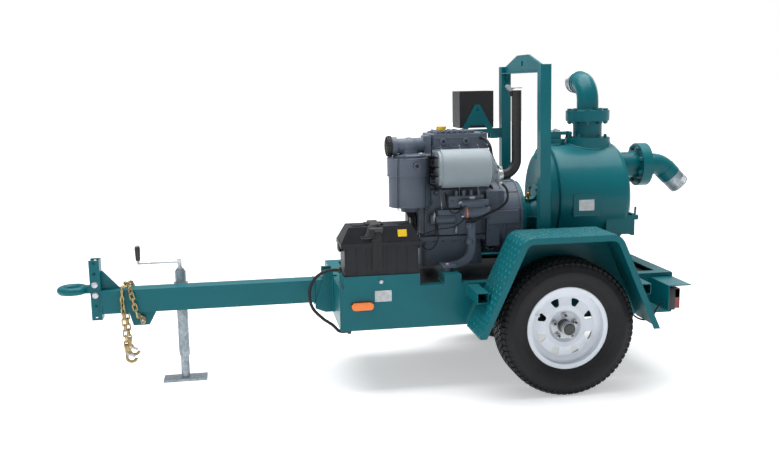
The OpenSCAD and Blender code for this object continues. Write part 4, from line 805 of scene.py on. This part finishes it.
welds = bmesh.new()
barrel_z, barrel_r = 0.933, 0.280
collar = []
for step in range(96):
    a = step / 96 * 2 * math.pi
    y = 0.1225 * math.sin(a)
    height = barrel_z + math.sqrt(barrel_r ** 2 - y * y) + 0.001
    collar.append(on_wheel(322 + 122.5 * math.cos(a), y * 1000, 0) + Vector((0, 0, height)))
bead(welds, collar, 0.0048, closed=True)
for centre, radius, axis, width in (
        ((322, 0, 1246), 0.079, (0, 0, 1), 0.0042), ((322, 0, 1334), 0.079, (0, 0, 1), 0.0038),
        ((322, 0, 1392), 0.059, (0, 0, 1), 0.0036), ((322, 126, 1541), 0.0605, (0, 1, 0), 0.0032),
        ((471, 0, 1085.7), 0.071, (1, 0, 0), 0.0042), ((603, 0, 1085.7), 0.071, (1, 0, 0), 0.0036),
        ((661, 0, 1085.7), 0.059, (1, 0, 0), 0.0036), ((140, 0, 1213), 0.0505, (0, 0, 1), 0.0034)):
    bead(welds, ring_points(on_wheel(*centre), radius, axis), width, closed=True)
bead(welds, ring_points(on_wheel(80.5, 0, 933), 0.2795, (1, 0, 0), 120), 0.0036, closed=True)
bead(welds, [on_wheel(143, -283.5, 964), on_wheel(290, -283.5, 964)], 0.0026)
bead(welds, [on_wheel(143, -283.5, 852), on_wheel(290, -283.5, 852)], 0.0026)
for side in (-1, 1):
    bead(welds, [on_wheel(335, side * 257, 838.5), on_wheel(470, side * 257, 838.5)], 0.0028)
for side in (-1, 1):
    for z in (535.5, 414.5):
        bead(welds, [on_wheel(-1204, side * 51, z), on_wheel(-1204, side * 20, z)], 0.003)
    bead(welds, [on_wheel(-1204, side * 51, 414), on_wheel(-1204, side * 51, 536)], 0.0035)
    bead(welds, [on_wheel(-1106, side * 62, 366), on_wheel(-1106, side * 62, 552)], 0.004)
    bead(welds, [on_wheel(-2298, side * 51, 416), on_wheel(-2298, side * 51, 534)], 0.0036)
    bead(welds, [on_wheel(-2298, side * 7, 633), on_wheel(-2298, side * 7, 545),
                 on_wheel(-2206, side * 7, 536)], 0.0028)
    bead(welds, [on_wheel(-2166, side * 7, 414.5), on_wheel(-2029, side * 7, 414.5)], 0.003)
    for x in (-70, -15):
        bead(welds, [on_wheel(x, side * 326, 555), on_wheel(x, side * 379, 555)], 0.0036)
    for y in (325, 380):
        bead(welds, [on_wheel(-69, side * y, 555), on_wheel(-16, side * y, 555)], 0.0036)
    for x in (-458, -397, 375, 436):
        bead(welds, [on_wheel(x, side * 400.5, 492), on_wheel(x, side * 400.5, 544)], 0.0032)
    for x in (-458, 375):
        bead(welds, [on_wheel(x, side * 400.5, 545), on_wheel(x + 61, side * 400.5, 545)], 0.0032)
    for x in (-574, -487):
        bead(welds, [on_wheel(x, side * 247, 555), on_wheel(x, side * 398, 555)], 0.003)
    bead(welds, [on_wheel(-1104, side * 400, 344), on_wheel(-1104, side * 400, 550)], 0.003)
    bead(welds, [on_wheel(641, side * 400, 344), on_wheel(641, side * 400, 550)], 0.003)
bead(welds, ring_points(on_wheel(-2351.5, 0, 541), 0.022, (1, 0, 0)), 0.005, closed=True)
piece("weld_beads", welds, teal_paint)

# --- Pump trim --------------------------------------------------------------
# Ribs of the bearing frame, bolt heads of the casing, the brass fitting and the clamp screw's tip.
pump = bmesh.new()
for step in range(6):
    a = math.radians(30 + step * 60)
    turned = Matrix.Translation(on_wheel(0, 0, 830)) @ Matrix.Rotation(a, 4, "X")
    outline = [(-0.082, 0.094), (-0.0815, 0.150), (-0.070, 0.122), (-0.045, 0.108), (-0.012, 0.108),
               (0.006, 0.122), (0.018, 0.158), (0.018, 0.094)]
    faces = []
    for y in (-0.004, 0.004):
        ring = [pump.verts.new(turned @ Vector((x, y, z))) for x, z in outline]
        faces.append(ring)
        pump.faces.new(ring)
    for i in range(len(outline)):
        j = (i + 1) % len(outline)
        pump.faces.new((faces[0][i], faces[0][j], faces[1][j], faces[1][i]))
for step in range(8):
    a = step / 8 * 2 * math.pi + 0.39
    spot = on_wheel(17, math.cos(a) * 155, 830 + math.sin(a) * 155)
    hex_head(pump, spot, (-1, 0, 0), 0.016, 0.010)
for a in (45, 135, 225, 315):
    spot = on_wheel(322 + 104 * math.cos(math.radians(a)), 104 * math.sin(math.radians(a)), 1256)
    hex_head(pump, spot, (0, 0, 1), 0.013, 0.009)
hex_head(pump, on_wheel(440, 0, 1219), (0, 0, 1), 0.018, 0.010)
for y in (-24, 24):
    hex_head(pump, on_wheel(216, y, 1270), (0, y, 0), 0.014, 0.006)
for y in (-60, 60):
    for z in (1075, 1096):
        hex_head(pump, on_wheel(500, y * 1.2, z), (0, y, 0), 0.012, 0.008)
for x in (166, 366):
    for side in (-1, 1):
        for y in (120, 190):
            hex_head(pump, on_wheel(x + 44, side * y, 574), (0, 0, 1), 0.018, 0.011)
piece("pump_trim", pump, teal_paint)
fitting = bmesh.new()
spot = on_wheel(-31, -48, 918)
turn_profile(fitting, [(0.012, 0.0), (0.012, 0.010), (0.007, 0.012), (0.006, 0.030), (0.009, 0.032),
                       (0.009, 0.042),
                       (0.004, 0.045), (0.0035, 0.052), (0.0, 0.053)], spot, (0, -0.25, 1), steps=24)
hex_head(fitting, spot + Vector((0, -0.007, 0.026)), (0, -0.25, 1), 0.018, 0.010, washer=False)
piece("grease_fitting", fitting, brass)
screw_end = bmesh.new()
turn_profile(screw_end, [(0.0, 0.006), (0.006, 0.0055), (0.0085, 0.002), (0.0085, -0.006)],
             on_wheel(140, 0, 1292), (0, 0, 1), steps=24)
piece("screw_tip", screw_end, bright_steel, "clamp_screw")

# Threads of the two pipe ends.
threads = bmesh.new()
axis = Vector((1, 0, -1)).normalized()
end = on_wheel(866.7, 0, 965.4)
for step in range(9):
    back = end - axis * (0.006 + step * 0.0034)
    turn_profile(threads, [(0.0565, -0.0016), (0.0578, 0.0), (0.0565, 0.0016)], back, axis, steps=48)
for step in range(9):
    spot = on_wheel(322, 204 - 6 - step * 3.4, 1541)
    turn_profile(threads, [(0.0565, -0.0016), (0.0578, 0.0), (0.0565, 0.0016)], spot, (0, 1, 0), steps=48)
piece("pipe_threads", threads, bright_steel)

# --- Battery ----------------------------------------------------------------
# Lid rim and latches, strap buckle, and a plain yellow label.
lid = bmesh.new()
low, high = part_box("battery_lid")
for z in (low.z + 0.003, low.z + 0.019):
    for y0, y1 in ((low.y - 0.0004, low.y + 0.004), (high.y - 0.004, high.y + 0.0004)):
        block(lid, (low.x - 0.0004, y0, z - 0.0022), (high.x + 0.0004, y1, z + 0.0022), 0.0012)
    for x0, x1 in ((low.x - 0.0004, low.x + 0.004), (high.x - 0.004, high.x + 0.0004)):
        block(lid, (x0, low.y, z - 0.0022), (x1, high.y, z + 0.0022), 0.0012)
block(lid, (low.x - 0.0045, -0.330, low.z - 0.028), (low.x + 0.012, -0.256, low.z + 0.006), 0.003)
block(lid, (high.x - 0.012, -0.330, low.z - 0.028), (high.x + 0.0045, -0.256, low.z + 0.006), 0.003)
for x in (-0.190, 0.045):
    block(lid, (x - 0.030, -0.335, high.z - 0.0125), (x + 0.030, -0.250, high.z - 0.003), 0.003)
piece("battery_lid_trim", lid, black_plastic, "battery_cover")
buckle = bmesh.new()
strap_low, strap_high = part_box("battery_strap")
middle = (strap_low.x + strap_high.x) / 2
lean_back = Matrix.Translation((middle, -0.387, 0.832)) @ Matrix.Rotation(math.radians(-66), 4, "X")
block(buckle, (-0.034, -0.024, 0.000), (0.034, 0.024, 0.009), 0.003, 2, lean_back)
block(buckle, (-0.024, -0.012, 0.009), (0.024, 0.016, 0.015), 0.003, 2, lean_back)
block(buckle, (-0.031, 0.028, 0.001), (0.031, 0.036, 0.008), 0.002, 2, lean_back)
piece("strap_buckle", buckle, grip_plastic, "battery_cover")
tail = bmesh.new()
drop = [(-0.366, 0.872), (-0.376, 0.866), (-0.391, 0.836), (-0.402, 0.812), (-0.412, 0.806), (-0.413, 0.818)]
rows = []
for number, (y, z) in enumerate(drop):
    swing = -0.012 * number
    rows.append([tail.verts.new((middle - 0.028 + swing, y - 0.004, z)),
                 tail.verts.new((middle + 0.016 + swing, y - 0.004, z + 0.002))])
for near, far in zip(rows, rows[1:]):
    tail.faces.new((near[0], near[1], far[1], far[0]))
made = piece("strap_tail", tail, strap_webbing, "battery_cover")
thick = made.modifiers.new("thickness", "SOLIDIFY")
thick.thickness = 0.0018
sticker = bmesh.new()
slope = math.atan2(0.069, 0.028)
corner = Vector((high.x - 0.118, -0.3905, 0.806))
turned = Matrix.Translation(corner) @ Matrix.Rotation(slope, 4, "X")
block(sticker, (0, 0, 0), (0.045, 0.036, 0.0006), 0.0002, 1, turned)
piece("battery_label", sticker, yellow_plastic, "battery_cover")
box_ribs = bmesh.new()
low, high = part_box("battery_box")
for x in range(8):
    spot = low.x + 0.022 + x * (high.x - low.x - 0.044) / 7
    for y in (low.y - 0.0012, high.y - 0.0018):
        block(box_ribs, (spot - 0.003, y, low.z + 0.06), (spot + 0.003, y + 0.003, high.z - 0.012), 0.001, 1)
piece("battery_box_ribs", box_ribs, black_plastic)

# --- Lamps ------------------------------------------------------------------
# Marker lenses with their gaskets, and tail lamps with a black housing, ribs and leads.
gaskets = bmesh.new()
ridges = bmesh.new()
for side in (-1, 1):
    for x0, x1, r, y0, y1, shape in ((-1030, -958, 21.5, 400, 404, gaskets),
                                     (-1030, -958, 12, 418, 421.5, ridges)):
        count = 16
        rings = []
        for y in (y0, y1):
            ring = []
            for x, start in ((x1, -math.pi / 2), (x0, math.pi / 2)):
                for step in range(count + 1):
                    a = start + math.pi * step / count
                    ring.append(shape.verts.new(on_wheel(x + r * math.cos(a), side * y,
                                                         466 + r * math.sin(a))))
            rings.append(ring)
        for i in range(len(rings[0])):
            j = (i + 1) % len(rings[0])
            shape.faces.new((rings[0][i], rings[0][j], rings[1][j], rings[1][i]))
        shape.faces.new(rings[1])
        shape.faces.new(rings[0])
piece("marker_gaskets", gaskets, grip_plastic)
piece("marker_lens_ridges", ridges, amber_lens)
housings = bmesh.new()
lenses = bmesh.new()
for side in (-1, 1):
    for y0, y1, z0, z1 in ((499, 599, 512, 517), (499, 599, 403, 409), (499, 504, 403, 517),
                           (594, 599, 403, 517)):
        block(housings, on_wheel(529, min(side * y0, side * y1), z0),
              on_wheel(566, max(side * y0, side * y1), z1), 0.002)
    block(housings, on_wheel(561, min(side * 504, side * 594), 462),
          on_wheel(593, max(side * 504, side * 594), 511), 0.003)
    for z in range(414, 462, 6):
        block(lenses, on_wheel(590, min(side * 506, side * 592), z),
              on_wheel(592.8, max(side * 506, side * 592), z + 2.5), 0.0008, 1)
    for y in (514, 584):
        hex_head(housings, on_wheel(592, side * y, 487), (1, 0, 0), 0.007, 0.003, washer=False)
piece("tail_lamp_housings", housings, grip_plastic)
piece("tail_lamp_ribs", lenses, red_lens)

for side, side_name in ((-1, "near"), (1, "far")):
    path = [on_wheel(x, side * y, z) for x, y, z in ((532, 540, 432), (516, 540, 424), (498, 535, 396),
                                                     (476, 524, 352),
                                                     (446, 504, 334), (414, 474, 344), (390, 440, 376),
                                                     (374, 412, 410), (366, 398, 430))]
    made = run_line("tail_lamp_lead_" + side_name, path, 0.0045, cable_jacket)

# --- Plates -----------------------------------------------------------------
# Corner rivets and blank ruled lines on the two plates.
rivets = bmesh.new()
for x0, x1, y, z0, z1 in ((-930, -846, -401, 483, 539), (173, 256, -285, 880, 937)):
    for x in (x0 + 5, x1 - 5):
        for z in (z0 + 5, z1 - 5):
            turn_profile(rivets, [(0.0, 0.0014), (0.0014, 0.0012), (0.0026, 0.0002), (0.0028, -0.001)],
                         on_wheel(x, y, z), (0, -1, 0), steps=16)
    for z in range(z0 + 12, z1 - 8, 8):
        block(rivets, on_wheel(x0 + 12, y - 0.35, z), on_wheel(x1 - 12, y + 0.2, z + 1.2), 0.0)
piece("plate_rivets", rivets, galvanised)

# --- Front of the frame -----------------------------------------------------
# Glands where the front cable leaves the tongue and enters the frame.
clips = bmesh.new()
for spot in (cable_route[0], cable_route[-1]):
    turn_profile(clips, [(0.0082, -0.010), (0.013, -0.009), (0.0145, -0.004), (0.0145, 0.004),
                         (0.013, 0.009), (0.0082, 0.010)],
                 Vector(spot) + Vector((-0.006 if spot is cable_route[0] else 0.002, 0, 0)), (1, 0, 0),
                 steps=28)
piece("cable_glands", clips, grip_plastic)

# --- Floor and light --------------------------------------------------------
# A pale floor, one big soft light overhead and weaker ones from the sides.
paper = bmesh.new()
bmesh.ops.create_grid(paper, x_segments=2, y_segments=2, size=30)
mesh = bpy.data.meshes.new("studio_floor")
paper.to_mesh(mesh)
paper.free()
studio_floor = bpy.data.objects.new("studio_floor", mesh)
bpy.context.scene.collection.objects.link(studio_floor)
pale = bpy.data.materials.new("pale_floor")
pale.use_nodes = True
pale.node_tree.nodes["Principled BSDF"].inputs["Base Color"].default_value = (0.90, 0.90, 0.90, 1)
pale.node_tree.nodes["Principled BSDF"].inputs["Roughness"].default_value = 0.9
pale.node_tree.nodes["Principled BSDF"].inputs["Emission Color"].default_value = (1.0, 1.0, 1.0, 1)
away = add(pale.node_tree, "VectorMath", {0: add(pale.node_tree, "TexCoord").outputs["Object"]},
           operation="LENGTH")
pale.node_tree.links.new(spread(pale.node_tree, away.outputs["Value"], 3.0, 9.0, 0.4, 1.0),
                         pale.node_tree.nodes["Principled BSDF"].inputs["Emission Strength"])
mesh.materials.append(pale)


def soft_light(name, place, aim, size, power, tint):
    """Hangs a rectangular soft light."""
    lamp = bpy.data.lights.new(name, "AREA")
    lamp.shape = "RECTANGLE"
    lamp.size, lamp.size_y = size
    lamp.energy = power
    lamp.color = tint
    made = bpy.data.objects.new(name, lamp)
    made.location = place
    made.rotation_euler = (Vector(aim) - Vector(place)).to_track_quat("-Z", "Y").to_euler()
    bpy.context.scene.collection.objects.link(made)


soft_light("overhead", (0.0, 0.3, 4.6), (0, 0, 0.5), (6.0, 4.0), 330, (1.0, 1.0, 1.0))
soft_light("from_left", (-4.2, -3.8, 2.6), (-0.2, 0, 0.7), (2.4, 2.4), 34, (0.97, 0.98, 1.0))
soft_light("from_right", (4.6, 3.4, 2.6), (0.4, 0, 0.7), (2.4, 2.4), 40, (1.0, 0.99, 0.97))
sky = bpy.data.worlds.new("studio")
sky.use_nodes = True
tree = sky.node_tree
ambient = tree.nodes["Background"]
ambient.inputs["Color"].default_value = (0.90, 0.95, 1.0, 1)
ambient.inputs["Strength"].default_value = 0.42
seen = add(tree, "Background", {"Color": (1.0, 1.0, 1.0, 1), "Strength": 1.0})
choose = add(tree, "MixShader", {0: add(tree, "LightPath").outputs["Is Camera Ray"], 1: ambient.outputs[0],
                                 2: seen.outputs[0]})
tree.links.new(choose.outputs[0], tree.nodes["World Output"].inputs["Surface"])
bpy.context.scene.world = sky
bpy.context.scene.view_settings.view_transform = "Standard"
